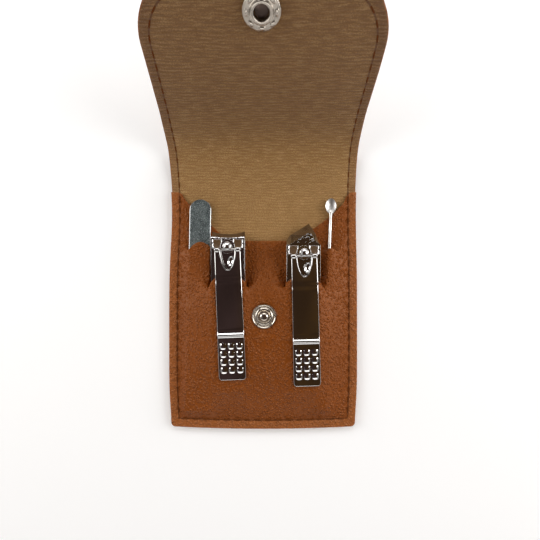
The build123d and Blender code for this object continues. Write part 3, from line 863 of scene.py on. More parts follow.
@dataclass(frozen=True)
class RibbedLiningFinish(Finish):
    """Khaki ribbed cloth: lit cords, painted shade in the valleys and the weave, slubs, random
    darker tone and a soft sheen; painted shade also darkens the seam groove and the rising flap.
    """

    ridge: Colour = srgb(202, 161, 100)
    valley_shade_and_dark_tone: Colour = srgb(146, 106, 58)
    slub: Colour = srgb(212, 178, 124)
    seam_groove_shade: Colour = srgb(84, 48, 22)
    upper_flap_shade: Colour = (0.62, 0.57, 0.56)
    sewn_margin: Colour = (0.82, 0.76, 0.78)
    rib_depth: float = 0.00045

    def dress(self, w: Coat) -> None:
        """Wire the ribs and the weave into the shader.

        Args:
            w: the material to wire.
        """
        flat = w.flat()
        ribs = w.effects.ribs.place(w, {"Place": flat, "Pitch": 0.0105})
        seam = w.seam_line()
        uneven = w.ramp(ribs.outputs["Slub"], 0.35, 0.65, 0.25, 0.8)
        along = w.add("SeparateXYZ", {0: flat}).outputs[1]
        cords = w.noise(w.stretched(flat, (24.0, 165.0, 1.0)), 1.0, 3.0, 0.6)
        shown = w.ramp(along, 0.35, 0.7, 0.25, 0.75)
        tone = w.layers(
            self.ridge,
            # painted shade: the valleys between the cords and the hollows of the weave are darkened;
            # the later darker coats are random tone
            (w.times(ribs.outputs["Valley"], uneven), self.valley_shade_and_dark_tone),
            (w.ramp(ribs.outputs["Weave"], 0.0, 1.0, 0.3, 0.0), self.valley_shade_and_dark_tone),
            (w.ramp(ribs.outputs["Slub"], 0.5, 0.78, 0.0, 0.7), self.slub),
            (w.ramp(ribs.outputs["Slub"], 0.28, 0.5, 0.45, 0.0), self.valley_shade_and_dark_tone),
            (w.ramp(w.noise(flat, 260.0, 2.0, 0.6), 0.42, 0.58, 0.9, 0.0), self.valley_shade_and_dark_tone),
            (w.ramp(w.noise(flat, 22.0, 3.0, 0.55), 0.3, 0.72, 0.0, 0.3), self.valley_shade_and_dark_tone),
            (w.times(shown, w.ramp(cords, 0.4, 0.56, 1.0, 0.0)), self.valley_shade_and_dark_tone),
            (w.times(shown, w.ramp(cords, 0.52, 0.72, 0.0, 0.55)), self.slub))
        # painted shade: the lining darkens towards the rising end of the flap
        tone = w.blend(w.ramp(along, 0.5, 0.8), tone, self.upper_flap_shade, "MULTIPLY")
        tone = w.blend(w.painted("margin"), tone, self.sewn_margin, "MULTIPLY")
        # painted shade in the seam groove
        tone = w.blend(w.times(seam, 0.8), tone, self.seam_groove_shade)
        w.set("Base Color", tone)
        w.set("Roughness", w.ramp(ribs.outputs["Height"], 0.2, 1.0, 0.92, 0.7))
        w.set("Specular IOR Level", 0.38)
        w.set("Sheen Weight", 0.12)
        w.set("Sheen Roughness", 0.5)
        w.bump(ribs.outputs["Height"], self.rib_depth, 1.0)


@dataclass(frozen=True)
class ThreadFinish(Finish):
    """Twisted polyester thread, dark brown."""

    light: Colour = srgb(104, 56, 22)
    dark: Colour = srgb(62, 30, 9)

    def dress(self, w: Coat) -> None:
        """Wire the plies into the shader.

        Args:
            w: the material to wire.
        """
        place = w.place()
        ply = w.effects.ply.place(w, {"Place": place, "Ply": 0.00055})
        # painted shade: the thread is darker in the grooves between its plies
        w.set("Base Color", w.blend(ply.outputs["Shade"], self.dark, self.light))
        w.set("Roughness", w.ramp(ply.outputs["Height"], 0.0, 1.0, 0.7, 0.5))
        w.set("Specular IOR Level", 0.08)
        w.bump(ply.outputs["Height"], 0.00008, 0.9)


@dataclass(frozen=True)
class PlatedFinish(Finish):
    """Bright plating over steel, with handling marks and a faint waviness."""

    plate: Colour = (0.62, 0.61, 0.6)
    smeared: Colour = (0.42, 0.4, 0.38)
    dust: Colour = (0.7, 0.68, 0.64)
    polish: float = 0.06
    dull: float = 0.11
    wave_depth: float = 0.00002
    stretch: float = 9.0

    def dress(self, w: Coat) -> None:
        """Wire scratches, smears and dust into the shader.

        Args:
            w: the material to wire.
        """
        place = w.place()
        marks = w.effects.marks.place(w, {"Place": place, "Stretch": self.stretch})
        w.set("Base Color", w.layers(
            self.plate,
            (w.times(marks.outputs["Smear"], 0.15), self.smeared),
            (w.times(marks.outputs["Dust"], 0.15), self.dust)))
        w.set("Metallic", 1.0)
        rough = w.ramp(marks.outputs["Smear"], 0.0, 1.0, self.polish, self.dull)
        rough = w.plus(rough, w.times(marks.outputs["Scratch"], 0.12))
        w.set("Roughness", rough)
        wave = w.noise(place, 190.0, 2.0, 0.4)
        under = w.bump(wave, self.wave_depth, 0.5)
        under = w.bump(self.facets(w), 1.0, 1.0, under)
        w.bump(marks.outputs["Scratch"], 0.000004, 0.5, under)

    @staticmethod
    def facets(w: Coat) -> Socket:
        """The heights of the facets stamped into a jaw, beside the post and at the blade.

        Args:
            w: the material to wire.

        Returns:
            The height's socket, in metres.
        """
        side = w.painted("across")
        across = w.maths("ABSOLUTE", side)
        ahead = w.painted("ahead")
        inside = w.times(w.ramp(across, 2.0 * MM, 2.5 * MM),
                         w.ramp(across, 5.0 * MM, 5.6 * MM, 1.0, 0.0))
        inside = w.times(inside, w.ramp(ahead, -0.7 * MM, -0.4 * MM))
        inside = w.times(inside, w.ramp(ahead, 2.45 * MM, 2.7 * MM, 1.0, 0.0))
        middle = w.minus(ahead, 1.1 * MM)
        squares = w.times(inside, w.times(middle, -0.62))
        blade = w.painted("blade")
        past = w.maths("MAXIMUM", w.minus(ahead, 3.2 * MM), 0.0)
        ground = w.times(w.times(past, -1.1), blade)
        slanting = w.plus(ahead, w.times(side, -0.35))
        spread = w.add("CombineXYZ", {0: w.times(side, 300.0), 1: w.times(slanting, 3000.0)})
        streaks = w.times(w.noise(spread.outputs[0], 1.0, 2.0, 0.5),
                          w.ramp(ahead, 2.7 * MM, 3.2 * MM, 0.0, 0.0001))
        return w.plus(w.plus(squares, ground), streaks)


@dataclass(frozen=True)
class AbrasiveFinish(Finish):
    """The file's grit: dark grey-green steel with painted glints as bright specks and a bright bare
    rim.
    """

    bed: Colour = srgb(90, 99, 100)
    pit: Colour = srgb(56, 64, 65)
    grit_glint: Colour = srgb(200, 210, 208)
    rim: Colour = (0.42, 0.43, 0.43)

    def dress(self, w: Coat) -> None:
        """Wire the grit and the rim into the shader.

        Args:
            w: the material to wire.
        """
        place = w.place()
        bare = w.painted("wear")
        grit = w.add("TexVoronoi", {"Vector": place, "Scale": 3400.0})
        fine = w.noise(place, 3600.0, 2.0, 0.7)
        drift = w.noise(place, 320.0, 3.0, 0.6)
        w.set("Base Color", w.layers(
            self.pit,
            (w.ramp(drift, 0.35, 0.65), self.bed),
            (w.ramp(grit.outputs["Distance"], 0.2, 0.6, 0.55, 0.0), self.bed),
            # painted glints: near-white specks laid on the grit
            (w.times(w.ramp(fine, 0.54, 0.68), 0.75), self.grit_glint),
            (bare, self.rim)))
        w.set("Metallic", w.maths("ADD", 0.55, w.times(bare, 0.45), clamp=True))
        coarse = w.ramp(fine, 0.3, 0.7, 0.62, 0.42)
        w.set("Roughness", w.minus(coarse, w.times(bare, 0.3)))
        rough = w.times(w.plus(fine, grit.outputs["Distance"]), w.minus(1.0, bare))
        w.bump(rough, 0.00006, 0.9)


@dataclass(frozen=True)
class FloorFinish(Finish):
    """A plain pale studio floor."""

    tone: Colour = (0.93, 0.93, 0.93)

    def dress(self, w: Coat) -> None:
        """Wire a barely mottled matt white into the shader.

        Args:
            w: the material to wire.
        """
        place = w.place()
        mottle = w.noise(place, 30.0, 2.0, 0.5)
        w.set("Base Color", w.blend(w.times(mottle, 0.05), self.tone, (0.88, 0.88, 0.88)))
        w.set("Roughness", 0.9)
        w.set("Specular IOR Level", 0.1)
        w.set("Emission Color", (1.0, 1.0, 1.0))
        w.set("Emission Strength", 0.12)


class Finishes(Enum):
    """Every finish on this object."""

    LEATHERETTE = LeatheretteFinish("leatherette")
    CUT_EDGE = CutEdgeFinish("leatherette_cut_edge")
    LINING = RibbedLiningFinish("ribbed_lining")
    THREAD = ThreadFinish("brown_thread")
    CHROME = PlatedFinish("clipper_chrome")
    PIN_CHROME = PlatedFinish("pin_chrome", plate=(0.74, 0.73, 0.72), polish=0.1, dull=0.22,
                              stretch=1.0)
    SNAP = PlatedFinish("snap_nickel", plate=(0.66, 0.6, 0.52), smeared=(0.4, 0.34, 0.28),
                        polish=0.2, dull=0.34, stretch=1.0)
    # painted shade: a dimmer copy of the snap nickel for the socket and its spring on the tilted
    # flap
    SNAP_SOCKET_SHADED = PlatedFinish("snap_socket_nickel_shaded", plate=(0.5, 0.45, 0.39),
                               smeared=(0.28, 0.22, 0.18), polish=0.22, dull=0.4, stretch=1.0)
    # painted shade: near-black plate for the cap's shank deep in the socket's hole
    SNAP_WELL_SHADE = PlatedFinish("snap_well_shade", plate=(0.07, 0.05, 0.042),
                             smeared=(0.04, 0.03, 0.026), polish=0.25, dull=0.4, stretch=1.0)
    PICK = PlatedFinish("pick_steel", plate=(0.72, 0.71, 0.69), smeared=(0.55, 0.54, 0.52),
                        polish=0.34, dull=0.5)
    ABRASIVE = AbrasiveFinish("file_grit")
    FLOOR = FloorFinish("studio_floor")


class Wardrobe:
    """Makes each finish's material once and puts it on the pieces."""

    def __init__(self) -> None:
        """Build the shared effects and every material."""
        self.effects = Effects()
        self.made = {finish: finish.value.material(self.effects) for finish in Finishes}

    def put_on(self, obj: Piece, *finishes: Finishes) -> Piece:
        """Give a piece its finishes, the first one all over.

        Args:
            obj: the piece.
            finishes: the finish of each material slot in turn.

        Returns:
            The same piece.
        """
        obj.data.materials.clear()
        for finish in finishes:
            obj.data.materials.append(self.made[finish])
        return obj

    def dress(self, obj: Piece, body: str, slot: str, *finishes: Finishes) -> Piece:
        """Give a piece its finishes, and let it ride on its body.

        Args:
            obj: the piece.
            body: the body that it moves with, or nothing to leave it unattached.
            slot: not used.
            finishes: its finishes, the first one all over.

        Returns:
            The same piece.
        """
        self.put_on(obj, *finishes)
        if body:
            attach(obj, body)
        return obj

    def repaint(self, node: str, finish: Finishes) -> None:
        """Put a finish into a frame part's own material slots."""
        for slot in NODES[node].material_slots:
            slot.material = self.made[finish]


def near(gap: Array, reach: float) -> Array:
    """1 where there is no gap, fading out beyond a reach."""
    return np.exp(-(gap / reach) ** 2)


def ease(share: Array) -> Array:
    """Smooth step from 0 to 1 over a share that may run past both ends."""
    held = np.clip(share, 0.0, 1.0)
    return held * held * (3.0 - 2.0 * held)


def quarter_inset(radius: float, into: Array) -> Array:
    """How much a round corner takes off at a depth into it, 0 where the corner begins."""
    held = np.clip(into, 0.0, radius)
    return radius - np.sqrt(np.maximum(radius ** 2 - held ** 2, 0.0))


def corner_rows(radius: float, count: int) -> Array:
    """Where the rows of a round corner lie, closer together where it starts."""
    return radius * (1 - np.cos(np.linspace(0, math.pi / 2, count)))


@dataclass
class CaseSizes:
    """The case's own sizes, in metres; the first six are the frame's."""

    half_width: float
    bottom: float
    fold: float
    flap_end: float
    panel_top: float
    snap_x: float
    inner: float = 1.6 * MM
    spine_length: float = 10.8 * MM
    spine_angle: float = 8.0
    flap_angle: float = 52.5
    cover_thickness: float = 1.0 * MM
    lining_thickness: float = 0.6 * MM
    lining_rim: float = 0.3 * MM
    low_radius: float = 1.6 * MM
    flap_radius: float = 20.0 * MM
    stitch_inset: float = 3.0 * MM
    bottom_stitch_inset: float = 3.2 * MM
    flap_end_stitch_inset: float = 4.2 * MM
    mouth: float = 34.0 * MM
    mouth_reach: float = 16.0 * MM
    flap_start: float = 62.0 * MM

    @classmethod
    def from_frame(cls) -> "CaseSizes":
        """Read the case's main sizes from the frame.

        Returns:
            The sizes.
        """
        back_low, back_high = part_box("back_cover")
        stud_low, stud_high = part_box("snap_stud")
        sizes = cls(half_width=back_high.x, bottom=back_low.y, fold=-back_low.y,
                    flap_end=0.0, panel_top=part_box("pocket_panel")[1].y,
                    snap_x=(stud_low.x + stud_high.x) / 2)
        slope = math.radians(sizes.spine_angle + sizes.flap_angle)
        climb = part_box("flap_cover")[1].z - sizes.upper_fold()[1]
        climb += sizes.lining_thickness * math.cos(slope)
        sizes.flap_end = sizes.fold + sizes.spine_length + climb / math.sin(slope)
        return sizes

    def upper_fold(self) -> Pair:
        """Find the fold between the spine and the flap.

        Returns:
            Its Y and its Z.
        """
        lean = math.radians(self.spine_angle)
        return (self.fold + self.spine_length * math.cos(lean),
                self.inner + self.spine_length * math.sin(lean))

    def pulled(self, q: Array) -> Array:
        """Find how handling has drawn the case in, a little at its mouth, foot and flap.

        Args:
            q: distances along the sheet.

        Returns:
            The share of the width that is lost at each.
        """
        mouth, foot = near(q - self.mouth, self.mouth_reach), near(q - self.bottom, 11.0 * MM)
        flap = ease((q - self.flap_start) / (14.0 * MM))
        return (0.75 * mouth + 0.8 * foot + 0.45 * flap) * MM / self.half_width

    def aside(self, q: Array) -> Array:
        """How far the soft case leans to the right."""
        far = ease((q - self.flap_start) / (36.0 * MM))
        return (0.3 * near(q - self.mouth, self.mouth_reach) + 0.75 * far) * MM

    def lifted(self, x: Array, q: Array) -> Array:
        """How far the foot's corners sit above its middle."""
        return 0.95 * MM * (x / self.half_width) ** 2 * near(q - self.bottom, 14.0 * MM)

    def settled(self, x: Array, q: Array) -> tuple[Array, Array]:
        """Where use has brought points of the flat sheet."""
        return x * (1 - self.pulled(q)) + self.aside(q), q + self.lifted(x, q)

    def as_cut(self, x: Array, y: Array) -> tuple[Array, Array]:
        """Where points of the used sheet lay when it was cut."""
        flat = (x - self.aside(y)) / (1 - self.pulled(y))
        return flat, y - self.lifted(flat, y)


@dataclass
class BendLine:
    """The side view of the case's inner surface: flat, rounding up, then the flap.

    A place on the sheet is its distance q along the surface, which equals Y while flat.
    """

    sizes: CaseSizes
    flap_angle: float = 60.5
    first_angle: float = 10.5
    steepest: float = 63.5
    first_bend: Pair = (42.5 * MM, 51.5 * MM)
    main_bend: Pair = (52.5 * MM, 70.0 * MM)
    easing: Pair = (84.0 * MM, 97.0 * MM)
    step: float = 0.05 * MM
    q: Array = field(init=False)
    y: Array = field(init=False)
    z: Array = field(init=False)
    angle: Array = field(init=False)
    end: float = field(init=False)

    def __post_init__(self) -> None:
        """Find where the main bend has to lie for the flap to meet the frame's plane."""
        low, high = -6.0 * MM, 6.0 * MM
        for _ in range(40):
            middle = (low + high) / 2
            self.trace(middle)
            if self.miss() > 0:
                high = middle
            else:
                low = middle
        direction = self.direction()
        reach = np.array([self.y[-1], self.z[-1]]) - np.array(self.sizes.upper_fold())
        along = float(reach @ direction)
        wanted = self.sizes.flap_end - self.sizes.fold - self.sizes.spine_length
        self.end = float(self.q[-1] + wanted - along)

    def direction(self) -> Array:
        """Unit direction of the frame's flap, from fold to free end."""
        angle = math.radians(self.flap_angle)
        return np.array([math.cos(angle), math.sin(angle)])

    def trace(self, shift: float) -> None:
        """Lay the line out with the main bend moved along by a shift.

        Args:
            shift: metres along the sheet.
        """
        self.q = np.arange(self.sizes.bottom, 0.125, self.step)
        start, stop = self.main_bend
        turned = self.first_angle * ease((self.q - self.first_bend[0])
                                         / (self.first_bend[1] - self.first_bend[0]))
        turned += (self.steepest - self.first_angle) * ease(
            (self.q - start - shift) / (stop - start))
        turned -= (self.steepest - self.flap_angle) * ease(
            (self.q - self.easing[0]) / (self.easing[1] - self.easing[0]))
        self.angle = np.radians(turned)
        middle = (self.angle[1:] + self.angle[:-1]) / 2
        self.y = self.sizes.bottom + np.concatenate([[0.0], np.cumsum(np.cos(middle))]) * self.step
        self.z = self.sizes.inner + np.concatenate([[0.0], np.cumsum(np.sin(middle))]) * self.step

    def miss(self) -> float:
        """Compare the flap's line with the frame's plane.

        Returns:
            How far the line passes outside the plane.
        """
        direction = self.direction()
        reach = np.array([self.y[-1], self.z[-1]]) - np.array(self.sizes.upper_fold())
        return float(reach[0] * direction[1] - reach[1] * direction[0])

    def at(self, q: Array, sunk: Array) -> tuple[Array, Array]:
        """Places of points sunk below the inner surface.

        Args:
            q: distances along the sheet.
            sunk: depths below the surface.

        Returns:
            Their Y and Z values.
        """
        angle = np.interp(q, self.q, self.angle)
        y = np.interp(q, self.q, self.y) + np.sin(angle) * sunk
        z = np.interp(q, self.q, self.z) - np.cos(angle) * sunk
        return y, z

    def pitch(self, q: float) -> float:
        """The surface's slope at q, in radians."""
        return float(np.interp(q, self.q, self.angle))


class Half(Enum):
    """The two halves of the case's body, split across the middle of its back."""

    POUCH = "pouch"
    FLAP = "flap"


@dataclass
class CaseBody:
    """The leatherette cover and its ribbed lining, with their seam channels."""

    sizes: CaseSizes
    line: BendLine
    split: float = 51.9 * MM
    channel_depth: float = 0.16 * MM
    channel_width: float = 0.55 * MM
    columns: int = 73
    edge_bevel: float = 0.22 * MM

    def half_width_at(self, q: Array, inset: float) -> Array:
        """Half the sheet's width, narrowing round its corners.

        Args:
            q: distances along the sheet.
            inset: how far the sheet stays inside the case's outline.

        Returns:
            One half width for each q.
        """
        size = self.sizes
        low, far = size.low_radius, size.flap_radius - inset
        low_cut = quarter_inset(low, low - (q - size.bottom - inset))
        far_cut = quarter_inset(far, far - (self.line.end - inset - q))
        return size.half_width - inset - low_cut - far_cut

    def rows(self, half: Half, inset: float) -> Array:
        """Where the sheet's rows lie, closer together round the corners.

        Args:
            half: which half of the body.
            inset: how far the sheet stays inside the case's outline.

        Returns:
            Distances along the sheet.
        """
        size = self.sizes
        if half is Half.POUCH:
            start = size.bottom + inset
            corner = start + corner_rows(size.low_radius, 10)
            return np.concatenate([corner, np.linspace(corner[-1], self.split, 96)[1:]])
        stop = self.line.end - inset
        far = size.flap_radius - inset
        corner = stop - far * (1 - np.cos(np.linspace(math.pi / 2, 0, 30)))
        return np.concatenate([np.linspace(self.split, corner[0], 64)[:-1], corner])

    def seam_distance(self, x: Array, q: Array) -> Array:
        """Distance from each point in to the line of stitches, below zero outside it.

        Args:
            x, q: the points' places on the sheet.

        Returns:
            One distance for each point.
        """
        size = self.sizes
        side = size.half_width - size.stitch_inset
        end = self.line.end - size.flap_end_stitch_inset
        low = size.bottom + size.bottom_stitch_inset
        radius = size.flap_radius - size.flap_end_stitch_inset
        corner_x, corner_q = side - radius, end - radius
        in_corner = (np.abs(x) > corner_x) & (q > corner_q)
        to_arc = radius - np.hypot(np.abs(x) - corner_x, q - corner_q)
        inward = np.minimum.reduce([side - np.abs(x), end - q, q - low])
        return np.where(in_corner, to_arc, inward)

    def sheet(self, name: str, half: Half, inset: float, sunk: float, thickness: float) -> Piece:
        """Model one sheet of one half.

        Args:
            name: the piece's name.
            half: which half of the body.
            inset: how far the sheet stays inside the case's outline.
            sunk: depth of its top face below the inner surface.
            thickness: the sheet's thickness.

        Returns:
            The new piece.
        """
        rows = self.rows(half, inset)
        obj = Bench.grid(name, self.columns, len(rows))
        share = np.tile(np.linspace(-1.0, 1.0, self.columns), len(rows))
        q = np.repeat(rows, self.columns)
        x = share * self.half_width_at(q, inset)
        gap = self.seam_distance(x, q)
        pressed = near(gap, self.channel_width)
        used_x, used_q = self.sizes.settled(x, q)
        y, z = self.line.at(used_q, sunk + pressed * self.channel_depth)
        Bench.move(obj, np.stack([used_x, y, z], axis=1))
        Bench.lay_flat(obj, np.stack([x, q], axis=1))
        Bench.paint(obj, "seam", SEAM_REACH + np.clip(gap, -SEAM_REACH, SEAM_REACH))
        ends = np.minimum(np.abs(np.abs(x) - self.half_width_at(q, inset)),
                          np.minimum(np.abs(q - self.sizes.bottom - inset),
                                     np.abs(self.line.end - inset - q)))
        Bench.paint(obj, "wear", near(ends, 0.7 * MM))
        beyond = ends - self.sizes.stitch_inset + inset
        Bench.paint(obj, "margin", 1 - ease(beyond / (0.5 * MM) + 0.5))
        obj.data.materials.append(None)
        Bench.modify(obj, "SOLIDIFY", thickness=thickness, offset=-1.0, use_rim=True,
                     material_offset_rim=0)
        return obj

    def mark_rim(self, obj: Piece) -> None:
        """Give the cut edge the second material: faces that stand across the sheet.

        Args:
            obj: the sheet.
        """
        for face in obj.data.polygons:
            angle = float(np.interp(face.center.y, self.line.y, self.line.angle))
            up = Vector((0.0, -math.sin(angle), math.cos(angle)))
            face.material_index = 1 if abs(face.normal.dot(up)) < 0.35 else 0

    def build(self, wardrobe: Wardrobe) -> list[Piece]:
        """Model the four sheets, shaped along the case's bend line.

        Args:
            wardrobe: the finishes.

        Returns:
            The four pieces.
        """
        size, made = self.sizes, []
        for half in Half:
            cover = self.sheet(f"cover_{half.value}", half, 0.0, size.lining_thickness,
                               size.cover_thickness)
            lining = self.sheet(f"lining_{half.value}", half, size.lining_rim, 0.0,
                                size.lining_thickness)
            Bench.round_edges(cover, self.edge_bevel, 55.0, 50.0)
            Bench.round_edges(lining, self.edge_bevel / 2, 55.0, 50.0)
            wardrobe.dress(cover, "", "leatherette", Finishes.LEATHERETTE, Finishes.CUT_EDGE)
            wardrobe.dress(lining, "", "lining", Finishes.LINING)
            self.mark_rim(cover)
            for obj in (cover, lining):
                self.hinge(obj, half)
            made += [cover, lining]
        for obj, nodes in zip(made, (("back_cover", "spine_cover"),
                                     ("back_lining", "spine_lining"),
                                     ("flap_cover",), ("flap_lining",))):
            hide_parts(*nodes)
        return made

    def hinge(self, obj: Piece, half: Half) -> None:
        """Bake a piece's place into its mesh, alike for either half.

        Args:
            obj: the piece.
            half: which half of the body it belongs to.
        """
        if half is Half.POUCH:
            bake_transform(obj)
        else:
            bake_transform(obj)
class ClipperKind(Enum):
    """The two clippers of the set."""

    STRAIGHT = "straight"
    SLANTED = "slanted"

    def node(self, part: str) -> str:
        """The frame's name of one of this clipper's parts or bodies."""
        return f"{self.value}_clipper_{part}"

    def post(self) -> Vector:
        """Foot of the post's axis, read from the frame."""
        low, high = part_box(self.node("pivot_pin"))
        return Vector(((low[0] + high[0]) / 2, (low[1] + high[1]) / 2, 0.0))


@dataclass(frozen=True)
class Lean:
    """The line that a slender tool lies along: its top, and how far it leans."""

    top: Vector
    tilt: float

    @staticmethod
    def of_file() -> "Lean":
        """Read the nail file's line from the frame.

        Returns:
            The line.
        """
        low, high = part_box("nail_file")
        tilt = math.radians(1.2)
        shift = (high[1] - low[1]) / 2 * math.tan(tilt)
        return Lean(Vector(((low[0] + high[0]) / 2 + shift, high[1], low[2])), tilt)

    @staticmethod
    def of_pick() -> "Lean":
        """Read the ear pick's line from the frame, by the right edge of its spoon.

        Returns:
            The line.
        """
        low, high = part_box("ear_pick")
        tilt, half_spoon = math.radians(2.1), 2.05 * MM
        x = high[0] - half_spoon + EarPick.spoon_length / 2 * math.tan(tilt)
        return Lean(Vector((x, high[1], (low[2] + high[2]) / 2)), tilt)

    def x_at(self, y: Array) -> Array:
        """X of the line at y."""
        return self.top.x - (self.top.y - y) * math.tan(self.tilt)

    def frame(self) -> Matrix:
        """The tool's own frame: its top at the origin, its foot towards -Y."""
        return Matrix.Translation(self.top) @ Matrix.Rotation(-self.tilt, 4, "Z")


@dataclass
class Obstacle:
    """A bar under the pocket leather: its centre line, half width, ends and heights."""

    centre: Callable[[Array], Array]
    half: Callable[[Array], Array]
    ends: Pair
    heights: Pair

    def raises(self, x: Array, y: Array, floor: float) -> Array:
        """Lowest height that the leather may have over this obstacle.

        Args:
            x, y: the leather's points.
            floor: the height where the obstacle isn't.

        Returns:
            One height for each point.
        """
        share = (y - self.ends[0]) / (self.ends[1] - self.ends[0])
        inside = (np.abs(x - self.centre(y)) <= self.half(y)) & (share >= 0) & (share <= 1)
        return np.where(inside, self.heights[0] + np.ptp(self.heights) * share, floor)


@dataclass
class PocketPanel:
    """The front leather: stitched down on three sides, stretched over the tools."""

    sizes: CaseSizes
    thickness: float = 0.85 * MM
    clipper_slit: float = 10.0 * MM
    slender_slit: float = 22.0 * MM
    clipper_slit_half: float = 7.0 * MM
    file_span: Pair = (-28.3 * MM, -19.4 * MM)
    pick_span: Pair = (22.4 * MM, 27.9 * MM)
    arm_ends: Pair = (-31.7 * MM, 11.6 * MM)
    arm_heights: Pair = (5.4 * MM, 7.55 * MM)
    arm_halves: Pair = (5.1 * MM, 6.45 * MM)
    arm_flare: float = 41.7 * MM
    file_half: float = 4.15 * MM
    file_ends: Pair = (-39.3 * MM, 24.5 * MM)
    file_height: float = 3.9 * MM
    pick_half: float = 0.8 * MM
    pick_ends: Pair = (-39.0 * MM, 22.2 * MM)
    pick_height: float = 4.1 * MM
    scuff: Pair = (0.1 * MM, -10.2 * MM)
    scuff_reach: float = 1.1 * MM
    rubbed_lip: float = 0.45 * MM
    groove_width: float = 0.55 * MM
    groove_depth: float = 0.3 * MM
    snap_y: float = -3.5 * MM
    snap_seat: float = 5.65 * MM
    snap_half: float = 4.7 * MM
    side_seam: float = 4.0 * MM
    bottom_seam: float = 4.2 * MM
    columns: int = 131
    low_rows: int = 98
    middle_rows: int = 24
    top_rows: int = 22
    rounds: int = 1400
    scoop: tuple[Pair, ...] = (
        (-35.6, 42.9), (-32.6, 42.85), (-31.7, 42.5), (-31.2, 41.7), (-30.8, 40.7), (-29.6, 39.2),
        (-27.9, 37.5), (-23.6, 33.4), (-19.3, 29.5), (-17.0, 27.4), (-14.6, 25.8), (-12.0, 24.9),
        (-9.0, 24.55), (0.0, 24.5), (9.0, 24.55), (12.0, 24.9), (15.0, 26.1), (18.0, 28.3),
        (21.2, 30.5), (24.4, 32.9), (27.5, 35.6), (30.2, 38.1), (31.4, 39.6), (31.9, 41.2),
        (32.4, 42.2), (33.3, 42.8), (35.6, 42.9))

    def __post_init__(self) -> None:
        """Find the clippers, and the grid rows that the two slit lines double."""
        self.clippers = [kind.post().x for kind in ClipperKind]
        self.second = self.low_rows + 8 + self.middle_rows - 1
        self.first = self.second - self.middle_rows

    def under(self) -> list[Obstacle]:
        """List the tools that the leather lies over.

        Returns:
            The file, the two clippers and the pick.
        """
        def same(value: float) -> Callable[[Array], Array]:
            """A measure that is the same at every Y."""
            return lambda y: np.full_like(y, value)

        def arms(y: Array) -> Array:
            """Half the clipper's width, wider towards its head."""
            share = np.clip((y - self.arm_ends[0]) / self.arm_flare, 0.0, 1.0)
            return self.arm_halves[0] + np.ptp(self.arm_halves) * share

        clippers = [Obstacle(same(place), arms, self.arm_ends, self.arm_heights)
                    for place in self.clippers]
        slender = [Obstacle(lean.x_at, same(half), ends, (height, height))
                   for lean, half, ends, height in (
                       (Lean.of_file(), self.file_half, self.file_ends, self.file_height),
                       (Lean.of_pick(), self.pick_half, self.pick_ends, self.pick_height))]
        return [slender[0], *clippers, slender[1]]

    def top_edge(self, x: Array) -> Array:
        """Y of the scooped mouth, its corners rounded.

        Args:
            x: the columns.

        Returns:
            One Y for each column.
        """
        points = np.array(self.scoop) * MM
        fine = np.linspace(points[0, 0], points[-1, 0], 600)
        kernel = np.exp(-(np.arange(-8, 9) / 4.0) ** 2)
        padded = np.pad(np.interp(fine, points[:, 0], points[:, 1]), 8, mode="edge")
        return np.interp(x, fine, np.convolve(padded, kernel / kernel.sum(), mode="valid"))

    def slit_bow(self, x: Array) -> tuple[Array, Array]:
        """How far each slit line bows up or down at x.

        Args:
            x: the columns.

        Returns:
            The bow of the clippers' slit line and of the slender tools' slit line.
        """
        def bow(centre: float, half: float, lift: float, drop: float, power: int,
                fade: float) -> Array:
            """Bow one slit: lifted inside, dropped at its ends, fading outside.

            Args:
                centre, half: the slit's middle and half its length.
                lift, drop: how far its middle rises and its ends fall, in millimetres.
                power: how late the fall comes.
                fade: how far beyond its ends the fall is felt.

            Returns:
                The bow at each column.
            """
            share = np.abs(x - centre) / half
            inside = lift - (lift + drop) * np.clip(share, 0, 1) ** power
            outside = -drop * np.exp(-((share - 1.0) * half / fade) ** 2)
            return np.where(share <= 1.0, inside, outside) * MM

        wide = sum(bow(centre, self.clipper_slit_half, lift, 2.9, 4, 2.2 * MM)
                   for centre, lift in zip(self.clippers, (1.3, 0.9)))
        slender = sum(bow(sum(span) / 2, (span[1] - span[0]) / 2, lift, drop, 2, 2.0 * MM)
                      for span, lift, drop in ((self.file_span, 2.0, 1.2),
                                               (self.pick_span, -0.4, 1.6)))
        return wide, slender

    def lay_out(self) -> tuple[Array, Array]:
        """Plan of the panel's grid, each slit line doubled.

        Returns:
            X and Y arrays, one row of the grid in each row; the rows at a slit come twice.
        """
        size = self.sizes
        share = np.linspace(-1.0, 1.0, self.columns)
        radius = size.low_radius
        low = np.concatenate([size.bottom + corner_rows(radius, 9),
                              np.linspace(size.bottom + radius, self.clipper_slit,
                                          self.low_rows)[1:]])
        middle = np.linspace(self.clipper_slit, self.slender_slit, self.middle_rows)
        narrow = quarter_inset(radius, radius - (low - size.bottom))
        straight = share * size.half_width
        bow_low, bow_top = self.slit_bow(straight)

        def bowed(y: float) -> Array:
            """Fade both slit lines' bows into a row.

            Args:
                y: the row's place before.

            Returns:
                Its Y at each column.
            """
            fade_low = 1 - ease(np.array(abs(y - self.clipper_slit) / (9.0 * MM)))
            fade_top = 1 - ease(np.array(abs(y - self.slender_slit) / (7.0 * MM)))
            return y + bow_low * fade_low + bow_top * fade_top

        start, stop = bowed(self.slender_slit), self.top_edge(straight)
        rows_x = [share * (size.half_width - less) for less in narrow]
        rows_x += [straight] * (self.middle_rows + self.top_rows)
        rows_y = [bowed(y) for y in (*low, *middle)]
        rows_y += [start + (stop - start) * step for step in np.linspace(0, 1, self.top_rows)]
        return np.array(rows_x), np.array(rows_y)

